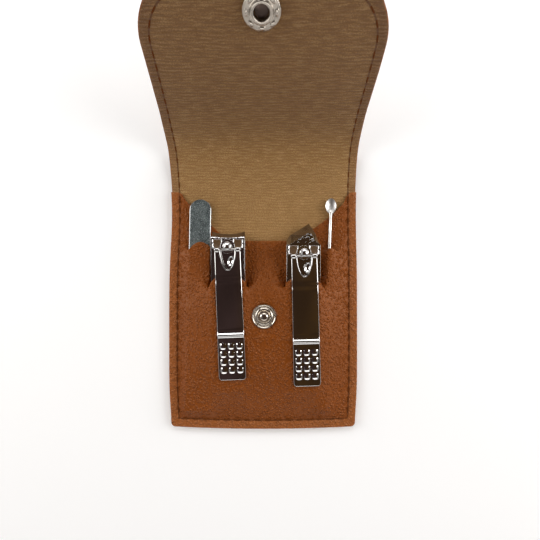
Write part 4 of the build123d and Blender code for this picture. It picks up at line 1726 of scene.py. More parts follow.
    def torn(self, x: Array) -> tuple[Array, Array]:
        """Which columns each slit line cuts.

        Args:
            x: the columns.

        Returns:
            A mask for the clippers' slits and one for the slender tools' slits.
        """
        wide = [np.abs(x - centre) < self.clipper_slit_half for centre in self.clippers]
        slender = [(x > low) & (x < high) for low, high in (self.file_span, self.pick_span)]
        return wide[0] | wide[1], slender[0] | slender[1]

    def bounds(self, x: Array, y: Array) -> tuple[Array, Array]:
        """Between which heights the leather's underside may lie.

        Args:
            x, y: the grid's plan.

        Returns:
            The lowest and the highest height at each point.
        """
        size, floor = self.sizes, self.sizes.inner
        low, high = np.full_like(x, floor), np.full_like(x, 1.0)
        row = np.arange(len(x))[:, None]
        seams = (self.second, self.first, self.first, self.second)
        for bar, seam in zip(self.under(), seams):
            low = np.maximum(low, np.where(row <= seam, bar.raises(x, y, floor), floor))
            beyond = (row > seam) & (np.abs(x - bar.centre(y)) < bar.half(y) + 0.5 * MM)
            high = np.where(beyond, floor, high)
        sewn = (np.abs(x) > size.half_width - self.side_seam) | (y < size.bottom + self.bottom_seam)
        high = np.where(sewn, floor, high)
        seat = self.from_snap(x, y) < self.snap_half
        return (np.where(seat, self.snap_seat, np.minimum(low, high)),
                np.where(seat, self.snap_seat, high))

    def from_snap(self, x: Array, y: Array) -> Array:
        """Distance of each point from the snap's centre."""
        return np.hypot(x - self.sizes.snap_x, y - self.snap_y)

    def stretch(self, x: Array, y: Array, torn: tuple[Array, Array]) -> Array:
        """Pull the leather tight over what lies under it.

        Args:
            x, y: the grid's plan.
            torn: the columns that each slit cuts.

        Returns:
            The underside's height at each point.
        """
        floor = self.sizes.inner
        low, high = self.bounds(x, y)
        row, column = np.indices(x.shape)
        above, below = np.minimum(row + 1, len(x) - 1), np.maximum(row - 1, 0)
        cuts = list(zip((self.first, self.second), torn))
        for seam, cut in cuts:
            above[seam] = np.where(cut, seam, seam + 2)
            below[seam + 1] = np.where(cut, seam + 1, seam - 1)

        def relax(u: Array, keep: float, highest: Array) -> Array:
            """Move each point towards its neighbours' mean, keeping seams joined.

            Args:
                u: the heights.
                keep: the share of its own height that a point keeps.
                highest: the greatest height allowed at each point.

            Returns:
                The new heights.
            """
            sides = (np.pad(u, ((0, 0), (1, 0)), mode="edge")[:, :-1]
                     + np.pad(u, ((0, 0), (0, 1)), mode="edge")[:, 1:])
            mean = (sides + u[above, column] + u[below, column]) / 4
            u = np.clip(keep * u + (1 - keep) * mean, low, highest)
            for seam, cut in cuts:
                u[seam + 1] = np.where(cut, u[seam + 1], u[seam])
            return u

        u = np.clip(np.full_like(x, floor), low, high)
        for _ in range(self.rounds):
            u = relax(u, 0.0, high)
        for _ in range(5):
            u = relax(u, 0.4, high + 0.12 * MM * (high > floor))
        return u

    def softness(self, x: Array, y: Array) -> Array:
        """The leather's small unevenness between its seams, in metres.

        Args:
            x, y: the grid's plan.

        Returns:
            One small height for each point, never below zero.
        """
        waves = (np.sin(x / (2.9 * MM) + 1.7 * np.sin(y / (6.1 * MM)))
                 * np.sin(y / (3.7 * MM) + 1.3 * np.sin(x / (5.3 * MM))))
        inside = ease((self.sizes.half_width - 5.0 * MM - np.abs(x)) / (4.0 * MM))
        low = ease((y - self.sizes.bottom - 5.0 * MM) / (5.0 * MM))
        return (waves + 1.0) * 0.05 * MM * inside * low

    def build(self, wardrobe: Wardrobe) -> Piece:
        """Model the panel.

        Args:
            wardrobe: the finishes.

        Returns:
            The piece.
        """
        cut_x, cut_y = self.lay_out()
        torn = self.torn(cut_x[-1])
        x, y = self.sizes.settled(cut_x, cut_y)
        uneven = np.where(self.from_snap(x, y) < self.snap_half + 0.3 * MM, 0.0,
                          self.softness(x, y))
        top = self.stretch(x, y, torn) + uneven + self.thickness + 0.05 * MM
        kept = [row for row in range(len(x)) if row not in (self.first + 1, self.second + 1)]
        obj = Bench.grid("pocket_leather", self.columns, len(kept))
        Bench.move(obj, np.stack([part[kept].ravel() for part in (x, y, top)], axis=1))
        for seam, cut in zip((self.first, self.second), torn):
            self.slit(obj, kept.index(seam), cut, top[seam + 1])
        self.mark(obj)
        Bench.modify(obj, "SOLIDIFY", thickness=self.thickness, offset=-1.0, use_rim=True,
                     use_even_offset=False)
        Bench.round_edges(obj, 0.22 * MM, 60.0, 55.0)
        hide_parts("pocket_panel")
        return wardrobe.dress(obj, "pouch", "leatherette", Finishes.LEATHERETTE, Finishes.CUT_EDGE)

    def slit(self, obj: Piece, row: int, torn: Array, beyond: Array) -> None:
        """Slit the sheet along one row and let the slit's far side drop.

        Args:
            obj: the sheet, its first vertices row by row.
            row: the grid row to cut along.
            torn: the columns to cut.
            beyond: height of the far side at each column.
        """
        mesh = bmesh.new()
        mesh.from_mesh(obj.data)
        mesh.verts.ensure_lookup_table()
        line = [mesh.verts[row * self.columns + column] for column in range(self.columns)]
        edges = [mesh.edges.get((line[column], line[column + 1]))
                 for column in range(self.columns - 1) if torn[column] or torn[column + 1]]
        places = {column: line[column].co.copy() for column in np.flatnonzero(torn)}
        bmesh.ops.split_edges(mesh, edges=edges)
        for vert in (vert for vert in mesh.verts if vert.is_boundary):
            for column, place in places.items():
                if (vert.co - place).length < 1e-7:
                    sides = [face.calc_center_median().y for face in vert.link_faces]
                    if min(sides) > place.y - 0.02 * MM and max(sides) > place.y:
                        vert.co.z = beyond[column]
                    break
        mesh.to_mesh(obj.data)
        mesh.free()

    def mark(self, obj: Piece) -> None:
        """Paint rubbed lips, the pressed seam and the flat places of the leather.

        Args:
            obj: the slit sheet.
        """
        places = Bench.places(obj)
        mesh = bmesh.new()
        mesh.from_mesh(obj.data)
        rim = np.array([vert.co[:] for vert in mesh.verts if vert.is_boundary])
        mesh.free()
        gaps = np.array([np.hypot(x - rim[:, 0], y - rim[:, 1]).min() for x, y, _ in places])
        scuff = np.hypot(places[:, 0] - self.scuff[0], (places[:, 1] - self.scuff[1]) * 1.4)
        wear = np.maximum(0.8 * near(gaps, self.rubbed_lip), 0.6 * near(scuff, self.scuff_reach))
        Bench.paint(obj, "wear", wear)
        size = self.sizes
        flat_x, flat_y = size.as_cut(places[:, 0], places[:, 1])
        gap = np.minimum(size.half_width - size.stitch_inset - np.abs(flat_x),
                         flat_y - size.bottom - size.bottom_stitch_inset)
        Bench.paint(obj, "margin", ease(0.5 - gap / (0.5 * MM)))
        Bench.paint(obj, "seam", SEAM_REACH + np.clip(gap, -SEAM_REACH, SEAM_REACH))
        Bench.lay_flat(obj, places[:, :2] + np.array([[0.0, 0.2]]))
        places[:, 2] -= near(gap, self.groove_width) * self.groove_depth
        Bench.move(obj, places)


@dataclass(frozen=True)
class StitchPlace:
    """Where one stitch lies: its place on the sheet, its heading and its depth."""

    x: float
    q: float
    heading: float
    sunk: float
    outside: bool = False


@dataclass
class SeamStitches:
    """The visible thread of every seam, one stitch modelled and laid along the lines."""

    sizes: CaseSizes
    line: BendLine
    length: float = 2.7 * MM
    width: float = 0.54 * MM
    height: float = 0.46 * MM
    pitch: float = 4.0 * MM
    whole_thickness: float = 1.6 * MM
    panel_thickness: float = 0.9 * MM

    def stitch(self) -> Piece:
        """Model one stitch: a plump bead whose ends dive into the leather.

        Returns:
            The stitch, lying along X at the origin.
        """
        obj = Bench.sphere("stitch", 8, 7, 0.5)
        obj.rotation_euler = (0, math.pi / 2, 0)
        Bench.settle(obj)
        places = Bench.places(obj)
        along = places[:, 0] * 2
        places[:, 0] = np.sign(along) * np.abs(along) ** 0.8 * self.length / 2
        places[:, 1] *= self.width
        places[:, 2] = places[:, 2] * self.height - 0.5 * self.height * along ** 4
        Bench.move(obj, places)
        return Bench.smooth(obj, 80.0)

    def place(self, spot: StitchPlace) -> Matrix:
        """The stitch's placing on the bent sheet.

        Args:
            spot: where it lies.

        Returns:
            A matrix from the stitch's own frame to the case's.
        """
        x, q = self.sizes.settled(np.array([spot.x]), np.array([spot.q]))
        angle = self.line.pitch(float(q[0]))
        y, z = self.line.at(q, np.array([spot.sunk]))
        forward = Vector((0.0, math.cos(angle), math.sin(angle)))
        along = Vector((math.cos(spot.heading), 0.0, 0.0)) + forward * math.sin(spot.heading)
        up = Vector((0.0, -math.sin(angle), math.cos(angle))) * (-1 if spot.outside else 1)
        frame = Matrix((along, up.cross(along), up)).transposed().to_4x4()
        return Matrix.Translation((float(x[0]), float(y[0]), float(z[0]))) @ frame

    def run(self, start: Pair, stop: Pair, sunk: float, outside: bool = False) -> list[StitchPlace]:
        """Stitches at the set pitch along a straight run.

        Args:
            start, stop: the run's ends on the sheet.
            sunk: depth below the inner surface.
            outside: whether they show on the outer face.

        Returns:
            Their places.
        """
        dx, dq = stop[0] - start[0], stop[1] - start[1]
        length = math.hypot(dx, dq)
        count = int(length // self.pitch)
        first = (length - (count - 1) * self.pitch) / 2 + (0.5 * MM if outside else 0.0)
        heading = math.atan2(dq, dx)
        return [StitchPlace(start[0] + dx * d / length, start[1] + dq * d / length, heading,
                            sunk, outside)
                for d in (first + step * self.pitch for step in range(count))]

    def arc(self, centre: Pair, radius: float, start: float, stop: float, sunk: float,
            outside: bool = False) -> list[StitchPlace]:
        """Stitches shared evenly round a corner.

        Args:
            centre: the corner's centre on the sheet.
            radius: its radius.
            start, stop: its angles in degrees.
            sunk: depth below the inner surface.
            outside: whether they show on the outer face.

        Returns:
            Their places.
        """
        sweep = math.radians(stop - start)
        count = round(abs(sweep) * radius / self.pitch)
        angles = [math.radians(start) + (index + 0.5) * sweep / count for index in range(count)]
        return [StitchPlace(centre[0] + radius * math.cos(angle),
                            centre[1] + radius * math.sin(angle), angle + math.pi / 2,
                            sunk, outside) for angle in angles]

    def build(self, wardrobe: Wardrobe, body: CaseBody) -> list[Piece]:
        """Sew the pocket, the back's fold and the flap.

        Args:
            wardrobe: the finishes.
            body: the case's sheets, whose split and channel depth the seams follow.

        Returns:
            The three pieces of stitching.
        """
        size = self.sizes
        side = size.half_width - size.stitch_inset
        low = size.bottom + size.bottom_stitch_inset
        on_panel = -self.panel_thickness + 0.1 * MM
        on_lining = body.channel_depth * 0.7
        behind = self.whole_thickness - 0.02 * MM
        corner_top, last = size.fold - 3.0 * MM, low + 0.6 * MM
        pocket, joint, flap = [], [], []
        for x in (-side, side):
            pocket += self.run((x, last), (x, size.panel_top), on_panel)
            pocket += self.run((x, last), (x, corner_top), behind, True)
            joint += self.run((x, corner_top), (x, body.split), on_lining)
            joint += self.run((x, corner_top), (x, body.split), behind, True)
        pocket += self.run((-side, low), (side, low), on_panel)
        pocket += self.run((-side, low), (side, low), behind, True)
        end = self.line.end - size.flap_end_stitch_inset
        radius = size.flap_radius - size.flap_end_stitch_inset
        corner_x, corner_q = side - radius, end - radius
        for sunk, outside in ((on_lining, False), (behind, True)):
            for x in (-side, side):
                flap += self.run((x, body.split + 0.4 * MM), (x, corner_q), sunk, outside)
            flap += self.run((-corner_x, end), (corner_x, end), sunk, outside)
            flap += self.arc((corner_x, corner_q), radius, 0, 90, sunk, outside)
            flap += self.arc((-corner_x, corner_q), radius, 180, 90, sunk, outside)
        made = []
        for name, node, spots in (("pocket_thread", "pocket_stitching", pocket),
                                  ("fold_thread", "spine_stitching", joint),
                                  ("flap_thread", "flap_stitching", flap)):
            obj = Bench.repeat(name, self.stitch(), [self.place(spot) for spot in spots])
            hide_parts(node)
            made.append(wardrobe.dress(obj, "", "thread", Finishes.THREAD))
        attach(made[0], "pouch")
        body.hinge(made[1], Half.POUCH)
        body.hinge(made[2], Half.FLAP)
        return made


@dataclass
class SnapFastener:
    """The four-part snap: stud and rivet on the pocket, socket and cap on the flap."""

    sizes: CaseSizes
    snap_y: float = -3.5 * MM
    stud_z: float = 6.55 * MM
    end_margin: float = 10.4 * MM
    tooth_count: int = 44
    petal_count: int = 8
    turns: int = 72
    stud_outline: tuple[Pair, ...] = (
        (0.0, 0.0), (4.15, 0.0), (4.4, 0.1), (4.55, 0.35), (4.52, 0.58), (4.35, 0.76),
        (4.12, 0.8), (3.92, 0.7), (3.82, 0.5), (3.7, 0.4), (3.25, 0.4), (3.12, 0.48),
        (3.04, 0.72), (2.9, 0.82), (2.62, 0.84), (2.42, 0.76), (2.3, 0.55), (2.1, 0.42),
        (1.62, 0.38), (1.38, 0.46), (1.28, 0.7), (1.24, 1.2), (1.34, 1.4), (1.52, 1.52),
        (1.55, 1.68), (1.46, 1.86), (1.28, 2.02), (1.02, 2.14), (0.7, 2.21), (0.36, 2.24),
        (0.0, 2.245))
    socket_outline: tuple[Pair, ...] = (
        (2.1, 0.1), (2.16, 0.0), (4.7, 0.0), (5.02, 0.12), (5.18, 0.4), (5.14, 0.72),
        (4.95, 0.95), (4.7, 1.06), (4.4, 1.08), (3.5, 1.06), (3.28, 1.12), (3.16, 1.3),
        (3.06, 1.5), (2.86, 1.6), (2.5, 1.6), (2.26, 1.54), (2.12, 1.36), (2.1, 1.1),
        (2.1, 0.1))

    def socket_frame(self) -> Matrix:
        """From a flat socket at the origin to its place on the half-open flap.

        Returns:
            The placing as a matrix.
        """
        size, inner = self.sizes, self.sizes.inner

        def about(y: float, degrees: float) -> Matrix:
            """Turn about a fold line of the case.

            Args:
                y: where the fold lies.
                degrees: how far it is folded.

            Returns:
                The turn as a matrix.
            """
            return (Matrix.Translation((0, y, inner))
                    @ Matrix.Rotation(math.radians(degrees), 4, "X")
                    @ Matrix.Translation((0, -y, -inner)))

        return (about(size.fold, size.spine_angle)
                @ about(size.fold + size.spine_length, size.flap_angle)
                @ Matrix.Translation((size.snap_x, size.flap_end - self.end_margin, inner)))

    def ring(self, name: str, outline: tuple[Pair, ...], detail: Piece, count: int) -> Piece:
        """Turn an outline and set a ring of small details on it.

        Args:
            name: the piece's name.
            outline: (radius, height) pairs in millimetres.
            detail: one detail at its place on the X axis, used up.
            count: how many details stand round the ring.

        Returns:
            The piece.
        """
        turned = Bench.lathe(name, [(r * MM, z * MM) for r, z in outline], self.turns)
        around = [Matrix.Rotation(2 * math.pi * index / count, 4, "Z") for index in range(count)]
        details = Bench.repeat(f"{name}_details", detail, around)
        return Bench.smooth(Bench.join(name, [turned, details]), 35.0)

    def tooth(self) -> Piece:
        """One small rounded tooth of the stud's ring.

        Returns:
            The tooth, on the X axis.
        """
        Bench.clear_selection()
        bpy.ops.mesh.primitive_cube_add(size=1.0, location=(3.5 * MM, 0.0, 0.44 * MM))
        obj = Bench.named("tooth")
        obj.scale = (0.55 * MM, 0.2 * MM, 0.22 * MM)
        Bench.settle(obj)
        return Bench.modify(obj, "BEVEL", width=0.084 * MM, segments=2)

    def petal(self) -> Piece:
        """One raised petal of the socket, a low dome longer round than across.

        Returns:
            The petal, on the X axis.
        """
        obj = Bench.sphere("petal", 16, 9)
        obj.scale = (0.62 * MM, 1.12 * MM, 0.34 * MM)
        obj.location = (4.08 * MM, 0.0, 1.02 * MM)
        return Bench.settle(obj)

    def darken_well(self, cap: Piece) -> None:
        """Give the faces at the bottom of the socket's hole their painted shade, a near-black plate.

        Args:
            cap: the snap's cap, whose shank shows in the hole.
        """
        flat = self.socket_frame().inverted()
        turn = flat.to_3x3()
        for face in cap.data.polygons:
            middle = flat @ face.center
            shown = (turn @ face.normal).z > 0.3 or middle.z > -0.3 * MM
            if math.hypot(middle.x, middle.y) < 2.3 * MM and shown:
                face.material_index = 1

    def build(self, wardrobe: Wardrobe) -> list[Piece]:
        """Model the stud and the socket and repaint the parts that keep the frame's shape.

        Args:
            wardrobe: the finishes.

        Returns:
            The new pieces.
        """
        stud = self.ring("snap_stud_plated", self.stud_outline, self.tooth(), self.tooth_count)
        stud.data.transform(Matrix.Translation((self.sizes.snap_x, self.snap_y, self.stud_z)))
        socket = self.ring("snap_socket_plated", self.socket_outline, self.petal(),
                           self.petal_count)
        socket.data.transform(self.socket_frame())
        cap = Bench.node_copy("snap_cap", "snap_cap_plated")
        Bench.round_edges(cap, 0.12 * MM, 40.0, 30.0)
        for obj, body, plate in ((stud, "pouch", Finishes.SNAP),
                                 (socket, "flap", Finishes.SNAP_SOCKET_SHADED),
                                 (cap, "flap", Finishes.SNAP)):
            wardrobe.dress(obj, body, "snap_metal", plate, Finishes.SNAP_WELL_SHADE)
        self.darken_well(cap)
        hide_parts("snap_stud")
        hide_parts("snap_socket")
        wardrobe.repaint("stud_rivet", Finishes.SNAP)
        wardrobe.repaint("socket_spring", Finishes.SNAP_SOCKET_SHADED)
        return [stud, socket, cap]


def sine_columns(half: Array, columns: int) -> Array:
    """X of a strip's vertices, row by row and closer together at its sides."""
    return np.outer(half, np.sin(np.linspace(-math.pi / 2, math.pi / 2, columns))).ravel()


@dataclass
class NailFile:
    """The flat file: gritty face, bright bevelled rim, round top."""

    width: float = 8.0 * MM
    length: float = 79.0 * MM
    thickness: float = 0.9 * MM
    top_radius: float = 3.95 * MM
    foot_radius: float = 1.65 * MM
    columns: int = 25

    def build(self, wardrobe: Wardrobe) -> Piece:
        """Model the file.

        Args:
            wardrobe: the finishes.

        Returns:
            The piece.
        """
        last = self.length - self.foot_radius
        down = np.concatenate([corner_rows(self.top_radius, 14),
                               np.linspace(self.top_radius, last, 60)[1:-1],
                               last - corner_rows(self.foot_radius, 14)[::-1]])[::-1]
        half = (self.width / 2 - quarter_inset(self.top_radius, self.top_radius - down)
                - quarter_inset(self.foot_radius, down - last))
        obj = Bench.grid("file_blade", self.columns, len(down))
        x = sine_columns(half, self.columns)
        y = -np.repeat(down, self.columns)
        inner = np.minimum(np.repeat(half, self.columns) - np.abs(x),
                           np.minimum(-y, self.length + y) * 1.2)
        z = self.thickness - 0.18 * MM * (1 - ease(inner / (0.32 * MM)))
        Bench.move(obj, np.stack([x, y, z], axis=1))
        Bench.paint(obj, "wear", 1 - ease((inner - 0.16 * MM) / (0.12 * MM)))
        Bench.modify(obj, "SOLIDIFY", thickness=self.thickness - 0.2 * MM, offset=-1.0,
                     use_rim=True)
        Bench.round_edges(obj, 0.12 * MM, 50.0, 40.0)
        obj.data.transform(Lean.of_file().frame())
        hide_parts("nail_file")
        return wardrobe.dress(obj, "file", "file_steel", Finishes.ABRASIVE)


@dataclass
class EarPick:
    """The ear pick: a dished spoon on a thin wire, flattened to a grip below."""

    length: float = 79.0 * MM
    stem_radius: float = 0.55 * MM
    spoon_width: float = 4.1 * MM
    spoon_length: float = 6.0 * MM
    spoon_depth: float = 0.62 * MM
    grip_start: float = 56.0 * MM

    def spoon(self) -> Piece:
        """Model the spoon's bowl.

        Returns:
            The spoon, its top at the origin.
        """
        obj = Bench.sphere("pick_spoon", 40, 24)
        places = Bench.places(obj)
        reach = np.clip(np.hypot(places[:, 0], places[:, 1]), 0, 1)
        places[:, 2] = np.where(places[:, 2] > 0.0, -0.62 + 1.02 * reach ** 2,
                                places[:, 2] * 0.92 - 0.02) * self.spoon_depth
        slim = 1.0 - 0.16 * np.clip(-places[:, 1], 0, 1)
        places[:, 0] *= self.spoon_width / 2 * slim
        places[:, 1] = (places[:, 1] - 1) * self.spoon_length / 2
        Bench.move(obj, places)
        return Bench.modify(obj, "SUBSURF", levels=1, render_levels=1)

    def build(self, wardrobe: Wardrobe) -> Piece:
        """Model the pick.

        Args:
            wardrobe: the finishes.

        Returns:
            The piece.
        """
        r = self.stem_radius
        start = self.spoon_length - 0.9 * MM
        reach = self.length - start
        outline = [(0.0, 0.0), (0.5 * r, 0.05 * MM), (1.15 * r, 0.4 * MM), (0.98 * r, 1.2 * MM),
                   (0.86 * r, 2.2 * MM), (0.9 * r, 3.2 * MM), (r, 5.0 * MM), (r, 20.0 * MM),
                   (r, 40.0 * MM), (r, 52.0 * MM), (1.2 * r, 55.0 * MM),
                   (1.2 * r, reach - 0.6 * MM), (0.8 * r, reach - 0.1 * MM), (0.0, reach)]
        stem = Bench.lathe("pick_stem", outline, 20)
        stem.data.transform(Matrix.Translation((0, -start, 0))
                            @ Matrix.Rotation(math.radians(90), 4, "X"))
        places = Bench.places(stem)
        flattened = ease((-places[:, 1] - self.grip_start) / (4.0 * MM))
        places[:, 0] *= 1 + 0.8 * flattened
        places[:, 2] *= 1 - 0.35 * flattened
        Bench.move(stem, places)
        obj = Bench.outward(Bench.join("pick_wire", [stem, self.spoon()]))
        Bench.smooth(obj, 50.0)
        obj.data.transform(Lean.of_pick().frame())
        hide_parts("ear_pick")
        return wardrobe.dress(obj, "pick", "pick_steel", Finishes.PICK)


@dataclass
class ClipperLever:
    """A clipper's lever in its own frame: the post at the origin, the tail towards -Y."""

    name: str
    drop: float
    bar_offset: float = 1.2 * MM
    thickness: float = 0.9 * MM
    head_width: float = 9.4 * MM
    tail_width: float = 10.0 * MM
    length: float = 48.9 * MM
    bend: float = 12.1 * MM
    pad: float = 16.7 * MM
    corner: float = 1.3 * MM
    edge_roll: float = 0.32 * MM
    window_half: float = 2.75 * MM
    window_length: float = 7.5 * MM
    grip_pitch: float = 2.95 * MM
    grip_margin: float = 3.8 * MM
    grip_half: float = 1.3 * MM
    grip_height: float = 0.4 * MM
    lip_radius: float = 0.2 * MM
    heel_place: Pair = (1.1 * MM, -5.5 * MM)
    heel_size: tuple[float, float, float] = (1.15 * MM, 1.8 * MM, 0.5 * MM)
    lobe_radius: float = 1.0 * MM
    bar_radius: float = 0.4 * MM
    columns: int = 61

    def top(self, x: Array, y: Array) -> Array:
        """Height of the lever's upper face: its bend, pad step, crown and grips.

        Args:
            x, y: places on the lever.

        Returns:
            One height for each place.
        """
        slope = self.drop / (self.length - self.bend)
        past = -self.bend - y
        sink = slope * np.where(past > 0, past, 0.0) + 0.12 * MM * np.exp(-(past / MM) ** 2)
        pad_y = -self.length + self.pad
        ridge = 0.46 * np.exp(-((y - pad_y + 0.1 * MM) / (0.72 * MM)) ** 2)
        groove = 0.12 * np.exp(-((y - pad_y - 1.5 * MM) / (0.6 * MM)) ** 2)
        step = 0.16 * ease((pad_y - y) / (0.9 * MM))
        crown = 0.06 * MM * (2 * x / self.tail_width) ** 2
        height = self.thickness / 2 - crown - sink + (ridge - groove - step) * MM
        for column, row in ((column, row) for column in (-1, 0, 1) for row in range(4)):
            across = np.abs(x - column * self.grip_pitch)
            along = np.abs(y + self.length - self.grip_margin - row * self.grip_pitch)
            reach = (across ** 2.6 + along ** 2.6) ** (1 / 2.6) / self.grip_half
            height = height + self.grip_height * np.clip(1 - reach ** 2, 0.0, 1.0)
        return height

    def strip(self) -> Piece:
        """Model the strip with its rolled edges, step, pad and grips.

        Returns:
            The strip, still without its window.
        """
        pad_y = -self.length + self.pad + 2.0 * MM
        rows = np.concatenate([-self.length + corner_rows(self.corner, 9),
                               np.linspace(-self.length + self.corner, pad_y, 110)[1:],
                               np.linspace(pad_y, -self.bar_offset, 60)[1:]])
        along = (-rows - self.bar_offset) / (self.length - self.bar_offset)
        half = (self.head_width + (self.tail_width - self.head_width) * along) / 2
        half = half - quarter_inset(self.corner, self.corner - (rows + self.length))
        obj = Bench.grid(f"{self.name}_strip", self.columns, len(rows))
        x = sine_columns(half, self.columns)
        y = np.repeat(rows, self.columns)
        inner = np.minimum(np.repeat(half, self.columns) - np.abs(x), y + self.length)
        roll = quarter_inset(self.edge_roll, self.edge_roll - inner)
        Bench.move(obj, np.stack([x, y, self.top(x, y) - roll], axis=1))
        return Bench.modify(obj, "SOLIDIFY", thickness=0.5 * MM, offset=-1.0, use_rim=True)

    def cut_window(self, strip: Piece) -> None:
        """Cut the window, half of a long oval below the bar.

        Args:
            strip: the lever's strip.
        """
        Bench.clear_selection()
        bpy.ops.mesh.primitive_cylinder_add(
            vertices=96, radius=1.0, depth=1.0, location=(0, -self.bar_offset, 0),
            scale=(self.window_half, self.window_length, 6 * self.thickness))
        cutter = Bench.settle(Bench.named(f"{self.name}_window"))
        Bench.modify(strip, "BOOLEAN", operation="DIFFERENCE", object=cutter)
        bpy.data.objects.remove(cutter)

    def rim(self) -> Piece:
        """Model the rounded lip that outlines the window.

        Returns:
            The lip.
        """
        turn = np.linspace(math.pi, 2 * math.pi, 49)
        height = self.thickness / 2 - 0.08 * MM
        Bench.clear_selection()
        bpy.ops.curve.primitive_nurbs_path_add(location=(0, 0, 0))
        obj = Bench.named(f"{self.name}_lip")
        obj.data.splines.clear()
        spline = obj.data.splines.new("POLY")
        spline.points.add(len(turn) - 1)
        for point, angle in zip(spline.points, turn):
            point.co = (self.window_half * math.cos(angle),
                        self.window_length * math.sin(angle) - self.bar_offset, height, 1.0)
        obj.data.bevel_depth = self.lip_radius
        obj.data.bevel_resolution = 4
        obj.data.use_fill_caps = True
        Bench.pick(obj)
        bpy.ops.object.convert(target="MESH")
        return Bench.named(f"{self.name}_lip")

    def heel(self) -> Piece:
        """Model the scooped heel that shows in the window, clear of the post when flipped.

        Returns:
            The heel.
        """
        obj = Bench.sphere(f"{self.name}_heel", 36, 20)
        places = Bench.places(obj)
        reach = np.clip(np.hypot(places[:, 0], places[:, 1]), 0, 1)
        places[:, 2] = np.where(places[:, 2] > 0.0, -0.3 + 1.1 * reach ** 2, 0.8 * places[:, 2])
        Bench.move(obj, places * self.heel_size)
        obj.data.transform(Matrix.Translation((*self.heel_place, 0))
                           @ Matrix.Rotation(math.radians(-14), 4, "Z"))
        return obj

    def roller(self, name: str, radius: float, low: float, high: float) -> Piece:
        """Model a round bar along X with rounded ends.

        Args:
            name: the end of the piece's name.
            radius: the bar's radius.
            low, high: the X values of its ends.

        Returns:
            The bar.
        """
        edge = 0.25 * radius
        reach = high - low
        half_edge = [(radius - edge, 0.0), (radius - 0.3 * edge, 0.3 * edge), (radius, edge)]
        outline = [(0.0, 0.0), *half_edge, *((r, reach - z) for r, z in reversed(half_edge)),
                   (0.0, reach)]
        obj = Bench.lathe(f"{self.name}_{name}", outline, 40)
        obj.data.transform(Matrix.Translation((low, -self.bar_offset, 0))
                           @ Matrix.Rotation(math.radians(90), 4, "Y"))
        return obj

    def build(self, place: Matrix) -> Piece:
        """Model the lever and set it in its place.

        Args:
            place: the lever's own frame, seen from the case's.

        Returns:
            The lever.
        """
        strip = self.strip()
        self.cut_window(strip)
        Bench.smooth(strip, 38.0)
        inner, outer = self.window_half + self.lip_radius, self.head_width / 2
        rounds = [self.rim(), self.heel(), self.roller("bar", self.bar_radius, -inner, inner),
                  self.roller("left_lobe", self.lobe_radius, -outer, -inner),
                  self.roller("right_lobe", self.lobe_radius, inner, outer)]
        for piece in rounds:
            Bench.smooth(piece, 50.0)
        obj = Bench.join(self.name, [strip, *rounds])
        obj.data.transform(place)
        return obj


@dataclass
class NailClipper:
    """One chrome clipper: both arms, tail rivet, post and lever."""

    kind: ClipperKind
    swing: float
    edge_round: float = 0.26 * MM
    head_radius: float = 1.5 * MM

    def rounded(self, part: str, width: float) -> Piece:
        """Copy a part of the frame and round its edges.

        Args:
            part: the part's short name.
            width: the rounding's width.

        Returns:
            The copy.
        """
        node = self.kind.node(part)
        obj = Bench.round_edges(Bench.node_copy(node, f"{node}_plated"), width, 30.0, 40.0, 3)
        return Bench.modify(obj, "WEIGHTED_NORMAL", keep_sharp=True, weight=80)

    def jaw(self, part: str, blade: float) -> Piece:
        """Copy an arm and note its places for the facets stamped into its head.

        Args:
            part: the part's short name.
            blade: 1 where the arm's ground blade shows, else 0.

        Returns:
            The arm.
        """
        obj = self.rounded(part, self.edge_round)
        places = Bench.places(obj) - np.array(self.kind.post())
        for name, values in (("blade", np.full(len(places), blade)), ("across", places[:, 0]),
                             ("ahead", places[:, 1])):
            Bench.paint(obj, name, values)
        return obj

    def pin(self) -> Piece:
        """Copy the post and set a faceted head on it.

        Returns:
            The post.
        """
        shaft = self.rounded("pivot_pin", 0.1 * MM)
        top = float(Bench.places(shaft)[:, 2].max())
        head = Bench.sphere(self.kind.node("faceted_head"), 9, 8, self.head_radius)
        places = Bench.places(head)
        places[:, 2] = np.maximum(places[:, 2], 0.0) * 0.5
        Bench.move(head, places)
        head.data.transform(Matrix.Translation(self.kind.post() + Vector((0, 0, top - 0.3 * MM))))
        return Bench.join(shaft.name, [shaft, head])

    def lever(self) -> Piece:
        """Model the lever at the height and slope that it has in the frame.

        Returns:
            The lever.
        """
        node = self.kind.node("lever")
        low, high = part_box(node)
        bar_height = high[2] - ClipperLever.lobe_radius
        drop = bar_height - ClipperLever.thickness / 2 - low[2]
        place = (Matrix.Translation(self.kind.post() + Vector((0, 0, bar_height)))
                 @ Matrix.Rotation(math.radians(self.swing), 4, "Z"))
        obj = ClipperLever(f"{node}_plated", drop).build(place)
        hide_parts(node)
        return obj

    def build(self, wardrobe: Wardrobe) -> list[Piece]:
        """Finish all five pieces.

        Args:
            wardrobe: the finishes.

        Returns:
            The pieces.
        """
        chrome = ("clipper_chrome", Finishes.CHROME)
        steel = ("pin_chrome", Finishes.PIN_CHROME)
        lever = self.lever()
        pieces = ((self.jaw("lower_jaw", 1.0), "base", chrome),
                  (self.jaw("upper_jaw", 0.0), "upper", chrome),
                  (lever, "lever_body", chrome), (self.pin(), "pin", steel),
                  (self.rounded("tail_rivet", 0.08 * MM), "base", steel))
        return [wardrobe.dress(obj, self.kind.node(body), *look) for obj, body, look in pieces]


@dataclass(frozen=True)
class SoftLight:
    """One soft light of the studio."""

    name: str
    place: tuple[float, float, float]
    size: Pair
    power: float
    tint: Colour


